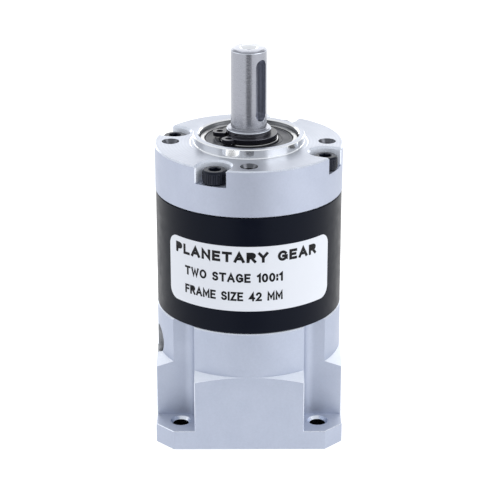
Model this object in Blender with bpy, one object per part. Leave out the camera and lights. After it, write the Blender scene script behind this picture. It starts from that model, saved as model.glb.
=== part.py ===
"""Two-stage planetary gearbox, ratio 100 to 1, with a 42 mm motor flange and an 8 mm output shaft.

The base stands on z = 0 and the shaft points up. The front of the gearbox faces -Y.
Dimensions are in millimetres and are turned into metres when an object is finished.
"""

import math

import bmesh
import bpy
from mathutils import Matrix

MM = 0.001

# ---- how finely the round surfaces are divided ----
BODY_SEGMENTS = 72
BORE_SEGMENTS = 36
RACE_SEGMENTS = 24
SHAFT_SEGMENTS = 28
HOLE_SEGMENTS = 12
PIN_SEGMENTS = 10
BALL_SEGMENTS = 8

# ---- case ----
CASE_RADIUS = 21.0
RING_GEAR_RADIUS = 20.9
RING_BOTTOM = 28.5
RING_TOP = 55.5
FLANGE_TOP = 66.2
BOSS_TOP = 68.2
BOSS_RADIUS = 12.5
REGISTER_RADIUS = 15.0
FIT_GAP = 0.05
RIM_CHAMFER = 0.3
SHARP_ANGLE = math.radians(31.0)

# ---- square foot for the motor ----
FOOT_TOP = 4.6
FOOT_CORNER_CUT = 4.0
POST_HALF_WIDTH = 12.25
POST_FILLET = 2.5
SHOULDER_Z = 17.9
SHOULDER_SLOPE = 0.41
MOTOR_HOLE_OFFSET = 15.5
MOTOR_HOLE_RADIUS = 1.75
MOTOR_HOLE_MOUTH = 2.3
PILOT_RADIUS = 11.05
PILOT_DEPTH = 2.3
CAVITY_RADIUS = 10.5
ACCESS_HOLE_RADIUS = 3.25
CLAMP_SCREW_Y = -4.7
CLAMP_SCREW_Z = 20.4

# ---- long screws that hold the case together ----
SCREW_CIRCLE = 18.3
FIRST_SCREW_ANGLE = math.radians(-90.0 - 23.7)
SCREW_RADIUS = 1.5
SCREW_HOLE_RADIUS = 1.62
SCREW_TIP_Z = 22.3
SCREW_HEAD_RADIUS = 2.75
SCREW_HEAD_HEIGHT = 3.0
SCREW_SOCKET = 2.5
NOTCH_FLOOR_Z = 62.3
NOTCH_HALF_WIDTH = 3.5

# ---- tapped holes in the output face ----
TAPPED_CIRCLE = 17.45
TAPPED_RADIUS = 1.7
TAPPED_MOUTH = 1.95
TAPPED_BOTTOM_Z = 58.2

# ---- nameplate ----
PLATE_BOTTOM = 33.9
PLATE_TOP = 49.05
PLATE_HALF_ANGLE = math.radians(57.5)
PLATE_CORNER = 2.5
PLATE_THICKNESS = 0.08

# ---- bearings: bore radius, outer radius, width, ball radius, number of balls ----
OUTPUT_BEARING = (5.0, 11.0, 6.0, 1.7, 7)
INPUT_BEARING = (6.0, 10.5, 5.0, 1.15, 7)
FRONT_BEARING_Z = 61.2
REAR_BEARING_Z = 52.6
INPUT_BEARING_Z = 24.6
OUTPUT_LANDS = (6.6, 9.85)
INPUT_LANDS = (7.2, 9.3)
RACE_DEPTH = 0.25
SHAFT_SHOULDER_RADIUS = 6.1

# ---- output shaft ----
SHAFT_RADIUS = 4.0
SHAFT_TOP = 87.7
SHAFT_CHAMFER = 0.5
JOURNAL_RADIUS = 4.98
COLLAR_TOP = 69.7
CIRCLIP_Z = 67.38
CIRCLIP_THICKNESS = 1.0
CIRCLIP_GROOVE_RADIUS = 4.6
CIRCLIP_RADIUS = 6.3
CIRCLIP_GAP_ANGLE = math.radians(-160.0)
EAR_LEAN = math.radians(27.0)
EAR_ROOT_RADIUS = 5.1
EAR_TIP_RADIUS = 8.05
EAR_HALF_WIDTH = 1.45
EAR_CORNER = 0.55
EAR_HOLE_RADIUS = 0.75
EAR_HOLE_CIRCLE = 6.5
KEYWAY_WIDTH = 3.0
KEYWAY_FLOOR = 2.2
KEYWAY_BOTTOM_Z = 71.6
KEYWAY_TOP_Z = 85.6
KEYWAY_ANGLE = math.radians(-45.0)

# ---- gear train: each stage has a 9 tooth sun, 36 tooth planets and an 81 tooth ring ----
MODULE = 0.35
SUN_TEETH = 9
PLANET_TEETH = 36
RING_TEETH = 81
PRESSURE_ANGLE = math.radians(20.0)
TOOTH_PLAY = 0.04
DEDENDUM = 0.40
SUN_ADDENDUM = 0.35
PLANET_ADDENDUM = 0.30
RING_ADDENDUM = 0.30
RING_BLANK_DEPTH = 1.0
SUN_ROOT_WIDTH = 0.9
CENTRE_DISTANCE = MODULE * (SUN_TEETH + PLANET_TEETH) / 2
PLANETS = 3
FIRST_PLANET_ANGLE = math.radians(90.0)
PIN_RADIUS = 1.5
CARRIER_RADIUS = 13.2
CARRIER_HOLE_RADIUS = 3.0
RING_TEETH_BOTTOM = 31.5
RING_TEETH_TOP = 52.2

# ---- heights of the two stages: cover, planets, carrier plate ----
STAGE_1_COVER = (31.9, 32.9)
STAGE_1_PLANETS = (33.2, 38.8)
STAGE_1_CARRIER = (39.1, 41.3)
STAGE_2_COVER = (41.8, 42.8)
STAGE_2_PLANETS = (43.1, 49.2)
STAGE_2_CARRIER = (49.5, 52.0)

# ---- snap rings on the input side: inner radius, outer radius, thickness, opening ----
CASE_SNAP_RING = (9.6, 11.0, 0.75, math.radians(40.0))
HUB_SNAP_RING = (5.65, 7.1, 0.65, math.radians(50.0))
SNAP_RING_GAP_ANGLE = math.radians(90.0)
HUB_GROOVE_RADIUS = 5.6

# ---- input hub that grips the motor shaft ----
HUB_RADIUS = 9.5
HUB_BOTTOM = 12.5
HUB_TOP = 23.8
MOTOR_SHAFT_RADIUS = 2.52
SLIT_WIDTH = 1.0
NECK_TOP = 31.0
SUN_SEAT_Z = 26.0
CLAMP_HEAD_X = -2.65
CLAMP_HEAD_HEIGHT = 2.8
CLAMP_LENGTH = 10.0

MATERIALS = {
    "satin_aluminium": ((0.62, 0.64, 0.68), 0.42, 1.0),
    "case_aluminium": ((0.55, 0.58, 0.63), 0.45, 1.0),
    "black_anodised": ((0.012, 0.014, 0.018), 0.4, 0.0),
    "ground_steel": ((0.42, 0.42, 0.43), 0.28, 1.0),
    "bearing_steel": ((0.60, 0.60, 0.58), 0.25, 1.0),
    "gear_steel": ((0.34, 0.34, 0.35), 0.38, 1.0),
    "black_oxide": ((0.022, 0.022, 0.026), 0.42, 0.6),
    "spring_steel": ((0.06, 0.06, 0.07), 0.35, 0.8),
    "seal_rubber": ((0.02, 0.023, 0.032), 0.6, 0.0),
    "cage_polymer": ((0.35, 0.27, 0.16), 0.5, 0.0),
    "label_film": ((0.80, 0.82, 0.86), 0.4, 0.0),
}


def clear_scene():
    for item in list(bpy.data.objects):
        bpy.data.objects.remove(item, do_unlink=True)


def make_material(slot):
    if slot in bpy.data.materials:
        return bpy.data.materials[slot]
    colour, roughness, metallic = MATERIALS[slot]
    material = bpy.data.materials.new(slot)
    material.use_nodes = True
    shader = material.node_tree.nodes["Principled BSDF"]
    shader.inputs["Base Color"].default_value = (*colour, 1.0)
    shader.inputs["Roughness"].default_value = roughness
    shader.inputs["Metallic"].default_value = metallic
    return material


# ---------------------------------------------------------------- mesh builders


def to_object(bm):
    bmesh.ops.recalc_face_normals(bm, faces=bm.faces[:])
    mesh = bpy.data.meshes.new("shape")
    bm.to_mesh(mesh)
    bm.free()
    item = bpy.data.objects.new("shape", mesh)
    bpy.context.scene.collection.objects.link(item)
    return item


def turned(profile, segments, centre=(0.0, 0.0)):
    """A body of revolution about a vertical axis from a closed (radius, height) profile."""
    bm = bmesh.new()
    columns = []
    for radius, height in profile:
        if radius == 0:
            columns.append([bm.verts.new((centre[0], centre[1], height))])
            continue
        column = []
        for step in range(segments):
            angle = 2 * math.pi * step / segments
            x = centre[0] + radius * math.cos(angle)
            y = centre[1] + radius * math.sin(angle)
            column.append(bm.verts.new((x, y, height)))
        columns.append(column)
    for index, column in enumerate(columns):
        other = columns[(index + 1) % len(columns)]
        for step in range(segments):
            after = (step + 1) % segments
            corners = []
            for ring, place in ((column, step), (column, after), (other, after), (other, step)):
                vertex = ring[place % len(ring)]
                if vertex not in corners:
                    corners.append(vertex)
            if len(corners) > 2:
                bm.faces.new(corners)
    return to_object(bm)


def prism(outline, bottom, top):
    """A straight extrusion of a closed (x, y) outline."""
    bm = bmesh.new()
    low = [bm.verts.new((x, y, bottom)) for x, y in outline]
    high = [bm.verts.new((x, y, top)) for x, y in outline]
    bm.faces.new(low)
    bm.faces.new(high)
    for index in range(len(outline)):
        after = (index + 1) % len(outline)
        bm.faces.new((low[index], low[after], high[after], high[index]))
    return to_object(bm)


def plate(outline, holes, bottom, top):
    """A flat plate with holes; outline and holes are closed lists of (x, y)."""
    bm = bmesh.new()
    edges = []
    for loop in [outline] + holes:
        corners = [bm.verts.new((x, y, bottom)) for x, y in loop]
        for index, corner in enumerate(corners):
            edges.append(bm.edges.new((corner, corners[(index + 1) % len(corners)])))
    bmesh.ops.triangle_fill(bm, edges=edges, use_beauty=True, normal=(0, 0, 1))
    grown = bmesh.ops.extrude_face_region(bm, geom=bm.faces[:], use_keep_orig=True)
    raised = [part for part in grown["geom"] if isinstance(part, bmesh.types.BMVert)]
    bmesh.ops.translate(bm, verts=raised, vec=(0, 0, top - bottom))
    return to_object(bm)


def cylinder(radius, bottom, top, segments, centre=(0.0, 0.0)):
    return turned([(0, bottom), (radius, bottom), (radius, top), (0, top)], segments, centre)


def turn_to_x(item, y, z):
    """Lay a vertical body down along +X and move its axis to the given y and z."""
    item.data.transform(Matrix.Translation((0, y, z)) @ Matrix.Rotation(math.pi / 2, 4, "Y"))
    return item


def triangulate(item):
    bm = bmesh.new()
    bm.from_mesh(item.data)
    bmesh.ops.triangulate(bm, faces=bm.faces[:])
    bm.to_mesh(item.data)
    bm.free()


def merge_flat_faces(item):
    """Drop the edges that only divide flat faces, and the points left along straight edges."""
    bm = bmesh.new()
    bm.from_mesh(item.data)
    bmesh.ops.remove_doubles(bm, verts=bm.verts[:], dist=0.002)
    bmesh.ops.dissolve_limit(
        bm, angle_limit=math.radians(0.05), verts=bm.verts[:], edges=bm.edges[:]
    )
    bm.to_mesh(item.data)
    bm.free()


def combine(body, tools, operation="DIFFERENCE"):
    """Cut the tools from the body, join them to it or keep what they share, and drop the tools."""
    for tool in tools:
        triangulate(body)
        triangulate(tool)
        modifier = body.modifiers.new(operation, "BOOLEAN")
        modifier.operation = operation
        modifier.solver = "EXACT"
        modifier.object = tool
        graph = bpy.context.evaluated_depsgraph_get()
        result = bpy.data.meshes.new_from_object(body.evaluated_get(graph))
        body.modifiers.clear()
        body.data = result
    for tool in tools:
        bpy.data.objects.remove(tool, do_unlink=True)
    merge_flat_faces(body)
    return body


def finish(item, name, slot, axis=(0.0, 0.0)):
    """Name the solid, give it its material and put its origin on its own axis, in metres."""
    item.name = name
    item.data.name = name
    item.data.transform(Matrix.Scale(MM, 4) @ Matrix.Translation((-axis[0], -axis[1], 0)))
    item.location = (axis[0] * MM, axis[1] * MM, 0)
    item.data.materials.clear()
    item.data.materials.append(make_material(slot))
    item.data.shade_smooth()
    item.data.set_sharp_from_angle(angle=SHARP_ANGLE)
    return item


def polar(radius, angle):
    return (radius * math.cos(angle), radius * math.sin(angle))


def circle(radius, segments, centre=(0.0, 0.0)):
    points = [polar(radius, 2 * math.pi * step / segments) for step in range(segments)]
    return [(centre[0] + x, centre[1] + y) for x, y in points]


def spread(count, first=0.0):
    return [first + 2 * math.pi * index / count for index in range(count)]


SCREW_CENTRES = [polar(SCREW_CIRCLE, angle) for angle in spread(4, FIRST_SCREW_ANGLE)]
PLANET_CENTRES = [polar(CENTRE_DISTANCE, a) for a in spread(PLANETS, FIRST_PLANET_ANGLE)]


# ---------------------------------------------------------------- gear teeth


def involute(angle):
    return math.tan(angle) - angle


def half_tooth(teeth, radius, play):
    """Half the angle a tooth takes up at a radius; positive play makes it wider."""
    pitch_radius = MODULE * teeth / 2
    base_radius = pitch_radius * math.cos(PRESSURE_ANGLE)
    local = math.acos(base_radius / max(radius, base_radius))
    middle = math.pi / (2 * teeth) + play / (2 * pitch_radius)
    return middle + involute(PRESSURE_ANGLE) - involute(local)


def toothed_outline(teeth, radii, play, first, root_width=1.0):
    """The outline of a gear whose flanks pass through the given radii, root first."""
    points = []
    for centre in spread(teeth, first):
        flank = [(radius, half_tooth(teeth, radius, play)) for radius in radii]
        flank[0] = (flank[0][0], flank[0][1] * root_width)
        points += [polar(radius, centre - half) for radius, half in flank]
        points += [polar(radius, centre + half) for radius, half in reversed(flank)]
    return points


def sun_outline():
    pitch_radius = MODULE * SUN_TEETH / 2
    radii = (pitch_radius - DEDENDUM, pitch_radius, pitch_radius + SUN_ADDENDUM)
    first = FIRST_PLANET_ANGLE + math.pi / SUN_TEETH
    return toothed_outline(SUN_TEETH, radii, -TOOTH_PLAY, first, root_width=SUN_ROOT_WIDTH)


def planet_outline(angle):
    pitch_radius = MODULE * PLANET_TEETH / 2
    radii = (pitch_radius - DEDENDUM, pitch_radius + PLANET_ADDENDUM)
    return toothed_outline(PLANET_TEETH, radii, -TOOTH_PLAY, angle)


def ring_space_outline():
    pitch_radius = MODULE * RING_TEETH / 2
    radii = (pitch_radius - RING_ADDENDUM, pitch_radius + DEDENDUM)
    return toothed_outline(RING_TEETH, radii, TOOTH_PLAY, FIRST_PLANET_ANGLE)


# ---------------------------------------------------------------- case


def post_outline():
    """A cross with filleted inner corners: the four posts between the corner pockets."""
    half, reach = POST_HALF_WIDTH, CASE_RADIUS
    points = []
    for quarter in range(4):
        turn = quarter * math.pi / 2
        corner = [(reach, half)]
        for step in range(5):
            angle = math.radians(-90 - 90 * step / 4)
            x = half + POST_FILLET + POST_FILLET * math.cos(angle)
            y = half + POST_FILLET + POST_FILLET * math.sin(angle)
            corner.append((x, y))
        corner.append((half, reach))
        for x, y in corner:
            points.append(
                (
                    x * math.cos(turn) - y * math.sin(turn),
                    x * math.sin(turn) + y * math.cos(turn),
                )
            )
    return points


def foot_outline():
    reach, short = CASE_RADIUS, CASE_RADIUS - FOOT_CORNER_CUT
    return [
        (reach, -short),
        (reach, short),
        (short, reach),
        (-short, reach),
        (-reach, short),
        (-reach, -short),
        (-short, -reach),
        (short, -reach),
    ]


def build_motor_adapter():
    far = CASE_RADIUS + 9.0
    lathe_shape = turned(
        [
            (0, -1.0),
            (far, -1.0),
            (far, SHOULDER_Z - (far - CASE_RADIUS) * SHOULDER_SLOPE),
            (CASE_RADIUS, SHOULDER_Z),
            (CASE_RADIUS, RING_BOTTOM - FIT_GAP),
            (0, RING_BOTTOM - FIT_GAP),
        ],
        BODY_SEGMENTS,
    )
    posts = prism(post_outline(), FOOT_TOP - 1.0, RING_BOTTOM + 1.0)
    body = combine(posts, [lathe_shape], "INTERSECT")
    foot = prism(foot_outline(), 0.0, FOOT_TOP)
    spigot = cylinder(REGISTER_RADIUS, FOOT_TOP + 1.0, RING_TEETH_BOTTOM - 0.3, BORE_SEGMENTS)
    combine(body, [foot, spigot], "UNION")
    seat = INPUT_BEARING[1] + FIT_GAP
    bearing_top = INPUT_BEARING_Z + INPUT_BEARING[2]
    bore = turned(
        [
            (0, -1.0),
            (PILOT_RADIUS, -1.0),
            (PILOT_RADIUS, PILOT_DEPTH),
            (CAVITY_RADIUS, PILOT_DEPTH),
            (CAVITY_RADIUS, INPUT_BEARING_Z - 0.65),
            (INPUT_LANDS[1] - 0.1, INPUT_BEARING_Z - 0.65),
            (INPUT_LANDS[1] - 0.1, INPUT_BEARING_Z - FIT_GAP),
            (seat, INPUT_BEARING_Z - FIT_GAP),
            (seat, bearing_top + FIT_GAP),
            (seat + 0.6, bearing_top + FIT_GAP),
            (seat + 0.6, bearing_top + 0.95),
            (seat, bearing_top + 0.95),
            (seat, RING_TEETH_BOTTOM + 1.0),
            (0, RING_TEETH_BOTTOM + 1.0),
        ],
        BORE_SEGMENTS,
    )
    cutters = [bore]
    for sx in (-1, 1):
        for sy in (-1, 1):
            mouth_z = FOOT_TOP - (MOTOR_HOLE_MOUTH - MOTOR_HOLE_RADIUS)
            hole = [
                (0, -1.0),
                (MOTOR_HOLE_RADIUS, -1.0),
                (MOTOR_HOLE_RADIUS, mouth_z),
                (MOTOR_HOLE_MOUTH, FOOT_TOP),
                (MOTOR_HOLE_MOUTH, FOOT_TOP + 1.0),
                (0, FOOT_TOP + 1.0),
            ]
            place = (sx * MOTOR_HOLE_OFFSET, sy * MOTOR_HOLE_OFFSET)
            cutters.append(turned(hole, HOLE_SEGMENTS, place))
    for centre in SCREW_CENTRES:
        cutters.append(
            cylinder(SCREW_HOLE_RADIUS, SCREW_TIP_Z - 1.5, RING_BOTTOM + 1.0, PIN_SEGMENTS, centre)
        )
    access = cylinder(ACCESS_HOLE_RADIUS, -CASE_RADIUS - 1.0, -8.5, HOLE_SEGMENTS + 4)
    cutters.append(turn_to_x(access, CLAMP_SCREW_Y, CLAMP_SCREW_Z))
    combine(body, cutters)
    finish(body, "motor_adapter", "case_aluminium")


def build_ring_gear():
    bore = REGISTER_RADIUS + FIT_GAP + 0.05
    inner = MODULE * RING_TEETH / 2 - RING_BLANK_DEPTH
    body = turned(
        [
            (RING_GEAR_RADIUS, RING_BOTTOM),
            (RING_GEAR_RADIUS, RING_TOP),
            (bore, RING_TOP),
            (bore, RING_TEETH_TOP),
            (inner, RING_TEETH_TOP),
            (inner, RING_TEETH_BOTTOM),
            (bore, RING_TEETH_BOTTOM),
            (bore, RING_BOTTOM),
        ],
        BODY_SEGMENTS,
    )
    cutters = [prism(ring_space_outline(), RING_TEETH_BOTTOM - 0.5, RING_TEETH_TOP + 0.5)]
    for centre in SCREW_CENTRES:
        cutters.append(
            cylinder(SCREW_HOLE_RADIUS, RING_BOTTOM - 1.0, RING_TOP + 1.0, PIN_SEGMENTS, centre)
        )
    combine(body, cutters)
    finish(body, "ring_gear", "black_anodised")


def build_output_flange():
    seat = OUTPUT_BEARING[1] + FIT_GAP
    rib = OUTPUT_LANDS[1] + 0.15
    rear_top = REAR_BEARING_Z + OUTPUT_BEARING[2]
    body = turned(
        [
            (0, RING_TEETH_TOP + 0.35),
            (REGISTER_RADIUS, RING_TEETH_TOP + 0.35),
            (REGISTER_RADIUS, RING_TOP + FIT_GAP),
            (CASE_RADIUS, RING_TOP + FIT_GAP),
            (CASE_RADIUS, FLANGE_TOP - RIM_CHAMFER),
            (CASE_RADIUS - RIM_CHAMFER, FLANGE_TOP),
            (BOSS_RADIUS, FLANGE_TOP),
            (BOSS_RADIUS, BOSS_TOP - RIM_CHAMFER),
            (BOSS_RADIUS - RIM_CHAMFER, BOSS_TOP),
            (0, BOSS_TOP),
        ],
        BODY_SEGMENTS,
    )
    bore = turned(
        [
            (0, RING_TEETH_TOP - 1.0),
            (seat, RING_TEETH_TOP - 1.0),
            (seat, rear_top + FIT_GAP),
            (rib, rear_top + FIT_GAP),
            (rib, FRONT_BEARING_Z - FIT_GAP),
            (seat, FRONT_BEARING_Z - FIT_GAP),
            (seat, BOSS_TOP + 1.0),
            (0, BOSS_TOP + 1.0),
        ],
        BORE_SEGMENTS,
    )
    cutters = [bore]
    for angle, centre in zip(spread(4, FIRST_SCREW_ANGLE), SCREW_CENTRES):
        outline = []
        for step in range(9):
            sweep = angle + math.pi / 2 + math.pi * step / 8
            dx, dy = polar(NOTCH_HALF_WIDTH, sweep)
            outline.append((centre[0] + dx, centre[1] + dy))
        out_x, out_y = polar(CASE_RADIUS, angle)
        outline.append((outline[-1][0] + out_x, outline[-1][1] + out_y))
        outline.append((outline[0][0] + out_x, outline[0][1] + out_y))
        cutters.append(prism(outline, NOTCH_FLOOR_Z, FLANGE_TOP + 1.0))
        cutters.append(
            cylinder(SCREW_HOLE_RADIUS, RING_TOP - 1.0, NOTCH_FLOOR_Z + 1.0, PIN_SEGMENTS, centre)
        )
    tapped_hole = [
        (0, TAPPED_BOTTOM_Z),
        (TAPPED_RADIUS, TAPPED_BOTTOM_Z + 0.8),
        (TAPPED_RADIUS, FLANGE_TOP - (TAPPED_MOUTH - TAPPED_RADIUS)),
        (TAPPED_MOUTH, FLANGE_TOP),
        (TAPPED_MOUTH, FLANGE_TOP + 1.0),
        (0, FLANGE_TOP + 1.0),
    ]
    for angle in spread(4):
        cutters.append(turned(tapped_hole, HOLE_SEGMENTS, polar(TAPPED_CIRCLE, angle)))
    combine(body, cutters)
    finish(body, "output_flange", "satin_aluminium")


def hexagon(across_flats, centre=(0.0, 0.0)):
    corner = across_flats / math.sqrt(3)
    return [
        (centre[0] + corner * math.cos(angle), centre[1] + corner * math.sin(angle))
        for angle in spread(6)
    ]


def socket_screw(head_radius, head_height, shank_radius, length, socket):
    """A socket head screw pointing down, its head seated on z = 0."""
    body = turned(
        [
            (0, -length),
            (shank_radius - 0.3, -length),
            (shank_radius, -length + 0.3),
            (shank_radius, 0),
            (head_radius, 0),
            (head_radius, head_height - 0.25),
            (head_radius - 0.25, head_height),
            (0, head_height),
        ],
        HOLE_SEGMENTS,
    )
    recess = prism(hexagon(socket), head_height - 1.5, head_height + 1.0)
    return combine(body, [recess])


def build_flange_screws():
    for number, centre in enumerate(SCREW_CENTRES, 1):
        seat = NOTCH_FLOOR_Z + FIT_GAP
        screw = socket_screw(
            SCREW_HEAD_RADIUS, SCREW_HEAD_HEIGHT, SCREW_RADIUS, seat - SCREW_TIP_Z, SCREW_SOCKET
        )
        screw.data.transform(Matrix.Translation((centre[0], centre[1], seat)))
        finish(screw, f"flange_screw_{number}", "black_oxide")


def build_nameplate():
    """A thin curved plate with rounded corners, lying on the facets of the ring gear."""
    facet = 2 * math.pi / BODY_SEGMENTS
    first_radius = RING_GEAR_RADIUS + 0.02
    end_arc = PLATE_CORNER / first_radius
    angles = {-PLATE_HALF_ANGLE + end_arc * (1 - math.cos(math.radians(t))) for t in (0, 30, 60, 90)}
    angles |= {-angle for angle in angles}
    steps = int((PLATE_HALF_ANGLE - end_arc) / facet)
    angles |= {facet * step for step in range(-steps, steps + 1)}
    bm = bmesh.new()
    stations = []
    for angle in sorted(angles):
        inset = max(0.0, abs(angle) - (PLATE_HALF_ANGLE - end_arc)) / end_arc
        drop = PLATE_CORNER * (1 - math.sqrt(max(0.0, 1 - inset * inset)))
        middle = (math.floor(angle / facet) + 0.5) * facet
        chord = math.cos(facet / 2) / math.cos(angle - middle)
        station = []
        for radius in (first_radius, first_radius + PLATE_THICKNESS):
            x, y = polar(radius * chord, angle - math.pi / 2)
            station.append(bm.verts.new((x, y, PLATE_BOTTOM + drop)))
            station.append(bm.verts.new((x, y, PLATE_TOP - drop)))
        stations.append(station)
    for one, two in zip(stations, stations[1:]):
        bm.faces.new((one[0], two[0], two[2], one[2]))
        bm.faces.new((one[1], one[3], two[3], two[1]))
        bm.faces.new((one[0], one[1], two[1], two[0]))
        bm.faces.new((one[2], two[2], two[3], one[3]))
    for station in (stations[0], stations[-1]):
        bm.faces.new((station[0], station[1], station[3], station[2]))
    finish(to_object(bm), "nameplate", "label_film")


# ---------------------------------------------------------------- bearings


def build_bearing_rings(prefix, bearing, lands, bottom):
    bore, outer, width, ball, _ = bearing
    middle, top = bottom + width / 2, bottom + width
    reach, floor = ball * 0.65, ball * 0.35
    inner_ring = turned(
        [
            (bore + 0.03, bottom),
            (lands[0], bottom),
            (lands[0], middle - reach),
            (lands[0] - RACE_DEPTH, middle - floor),
            (lands[0] - RACE_DEPTH, middle + floor),
            (lands[0], middle + reach),
            (lands[0], top),
            (bore + 0.03, top),
        ],
        RACE_SEGMENTS,
    )
    finish(inner_ring, f"{prefix}_inner_ring", "bearing_steel")
    outer_ring = turned(
        [
            (outer, bottom),
            (outer, top),
            (lands[1], top),
            (lands[1], middle + reach),
            (lands[1] + RACE_DEPTH, middle + floor),
            (lands[1] + RACE_DEPTH, middle - floor),
            (lands[1], middle - reach),
            (lands[1], bottom),
        ],
        BORE_SEGMENTS if bottom == FRONT_BEARING_Z else RACE_SEGMENTS,
    )
    finish(outer_ring, f"{prefix}_outer_ring", "bearing_steel")


def build_ball_cage(prefix, bearing, lands, bottom):
    """One ring of balls joined to the cage that spaces them."""
    _, _, width, ball, count = bearing
    pitch = (lands[0] + lands[1]) / 2
    middle = bottom + width / 2
    half_wall, half_height = (lands[1] - lands[0]) * 0.2, ball * 0.4
    cage = turned(
        [
            (pitch - half_wall, middle - half_height),
            (pitch + half_wall, middle - half_height),
            (pitch + half_wall, middle + half_height),
            (pitch - half_wall, middle + half_height),
        ],
        RACE_SEGMENTS,
    )
    balls = []
    for angle in spread(count, 0.05):
        shape = [
            (0, middle - ball),
            (ball * 0.93, middle - ball * 0.5),
            (ball * 0.93, middle + ball * 0.5),
            (0, middle + ball),
        ]
        balls.append(turned(shape, BALL_SEGMENTS, polar(pitch, angle)))
    combine(cage, balls, "UNION")
    finish(cage, f"{prefix}_ball_cage", "cage_polymer")


def build_front_seal():
    top = FRONT_BEARING_Z + OUTPUT_BEARING[2]
    inner, outer = OUTPUT_LANDS[0] + 0.12, OUTPUT_LANDS[1] - 0.08
    seal = turned(
        [(inner, top - 0.7), (outer, top - 0.7), (outer, top - 0.3), (inner, top - 0.3)],
        BORE_SEGMENTS,
    )
    finish(seal, "front_bearing_seal", "seal_rubber")


def retaining_ring(inner, outer, bottom, thickness, opening, gap_angle):
    """A plain snap ring: an open band whose gap is centred on gap_angle."""
    steps = 24
    angles = []
    for step in range(steps + 1):
        angles.append(gap_angle + opening / 2 + (2 * math.pi - opening) * step / steps)
    outline = [polar(outer, angle) for angle in angles]
    outline += [polar(inner, angle) for angle in reversed(angles)]
    return prism(outline, bottom, bottom + thickness)


def build_shaft_circlip():
    """The external snap ring on the output shaft, with its two eared ends."""
    top = CIRCLIP_Z + CIRCLIP_THICKNESS
    ring = retaining_ring(
        CIRCLIP_GROOVE_RADIUS + 0.03,
        CIRCLIP_RADIUS,
        CIRCLIP_Z,
        CIRCLIP_THICKNESS,
        2 * EAR_LEAN,
        CIRCLIP_GAP_ANGLE,
    )
    half, tip = EAR_HALF_WIDTH, EAR_TIP_RADIUS
    outline = [
        (EAR_ROOT_RADIUS, -half),
        (tip - EAR_CORNER, -half),
        (tip, EAR_CORNER - half),
        (tip, half - EAR_CORNER),
        (tip - EAR_CORNER, half),
        (EAR_ROOT_RADIUS, half),
    ]
    ears, holes = [], []
    for angle in (CIRCLIP_GAP_ANGLE - EAR_LEAN, CIRCLIP_GAP_ANGLE + EAR_LEAN):
        ear = prism(outline, CIRCLIP_Z, top)
        ear.data.transform(Matrix.Rotation(angle, 4, "Z"))
        ears.append(ear)
        centre = polar(EAR_HOLE_CIRCLE, angle)
        holes.append(
            cylinder(EAR_HOLE_RADIUS, CIRCLIP_Z - 1.0, top + 1.0, PIN_SEGMENTS, centre)
        )
    combine(ring, ears, "UNION")
    combine(ring, holes)
    finish(ring, "shaft_circlip", "spring_steel")


def build_input_retainers():
    top = INPUT_BEARING_Z + INPUT_BEARING[2] + 0.1
    for name, shape in (("bearing_retaining_ring", CASE_SNAP_RING), ("hub_circlip", HUB_SNAP_RING)):
        inner, outer, thickness, opening = shape
        ring = retaining_ring(inner, outer, top, thickness, opening, SNAP_RING_GAP_ANGLE)
        finish(ring, name, "spring_steel")


# ---------------------------------------------------------------- output shaft and gear stages


def pin_circles():
    return [circle(PIN_RADIUS + 0.03, PIN_SEGMENTS, centre) for centre in PLANET_CENTRES]


def build_output_shaft():
    """The shaft and the second stage carrier plate are one piece of steel."""
    disc_bottom, disc_top = STAGE_2_CARRIER
    groove_top = CIRCLIP_Z + CIRCLIP_THICKNESS + 0.05
    body = turned(
        [
            (0, disc_bottom),
            (CARRIER_RADIUS, disc_bottom),
            (CARRIER_RADIUS, disc_top),
            (SHAFT_SHOULDER_RADIUS, disc_top),
            (SHAFT_SHOULDER_RADIUS, REAR_BEARING_Z - FIT_GAP),
            (JOURNAL_RADIUS, REAR_BEARING_Z - FIT_GAP),
            (JOURNAL_RADIUS, CIRCLIP_Z - FIT_GAP),
            (CIRCLIP_GROOVE_RADIUS, CIRCLIP_Z - FIT_GAP),
            (CIRCLIP_GROOVE_RADIUS, groove_top),
            (JOURNAL_RADIUS, groove_top),
            (JOURNAL_RADIUS, COLLAR_TOP - RIM_CHAMFER),
            (JOURNAL_RADIUS - RIM_CHAMFER, COLLAR_TOP),
            (SHAFT_RADIUS, COLLAR_TOP),
            (SHAFT_RADIUS, SHAFT_TOP - SHAFT_CHAMFER),
            (SHAFT_RADIUS - SHAFT_CHAMFER, SHAFT_TOP),
            (2.0, SHAFT_TOP),
            (1.25, SHAFT_TOP - 0.8),
            (1.25, SHAFT_TOP - 8.0),
            (0, SHAFT_TOP - 8.7),
        ],
        SHAFT_SEGMENTS,
    )
    half = KEYWAY_WIDTH / 2
    outline = []
    for centre_z, first in ((KEYWAY_TOP_Z - half, 0.0), (KEYWAY_BOTTOM_Z + half, math.pi)):
        for step in range(9):
            angle = first + math.pi * step / 8
            outline.append((centre_z + half * math.sin(angle), half * math.cos(angle)))
    keyway = prism(outline, KEYWAY_FLOOR, SHAFT_RADIUS + 1.0)
    upright = Matrix(((0, 0, 1, 0), (0, 1, 0, 0), (1, 0, 0, 0), (0, 0, 0, 1)))
    keyway.data.transform(Matrix.Rotation(KEYWAY_ANGLE, 4, "Z") @ upright)
    keyway.data.flip_normals()
    pin_cutters = [prism(outline, disc_bottom - 1.0, disc_top + 0.3) for outline in pin_circles()]
    combine(body, [keyway] + pin_cutters)
    finish(body, "output_shaft", "ground_steel")


def build_bearing_spacer():
    low = REAR_BEARING_Z + OUTPUT_BEARING[2] + FIT_GAP
    high = FRONT_BEARING_Z - FIT_GAP
    inner, outer = JOURNAL_RADIUS + FIT_GAP, SHAFT_SHOULDER_RADIUS
    spacer = turned([(inner, low), (outer, low), (outer, high), (inner, high)], RACE_SEGMENTS)
    finish(spacer, "bearing_spacer", "ground_steel")


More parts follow.
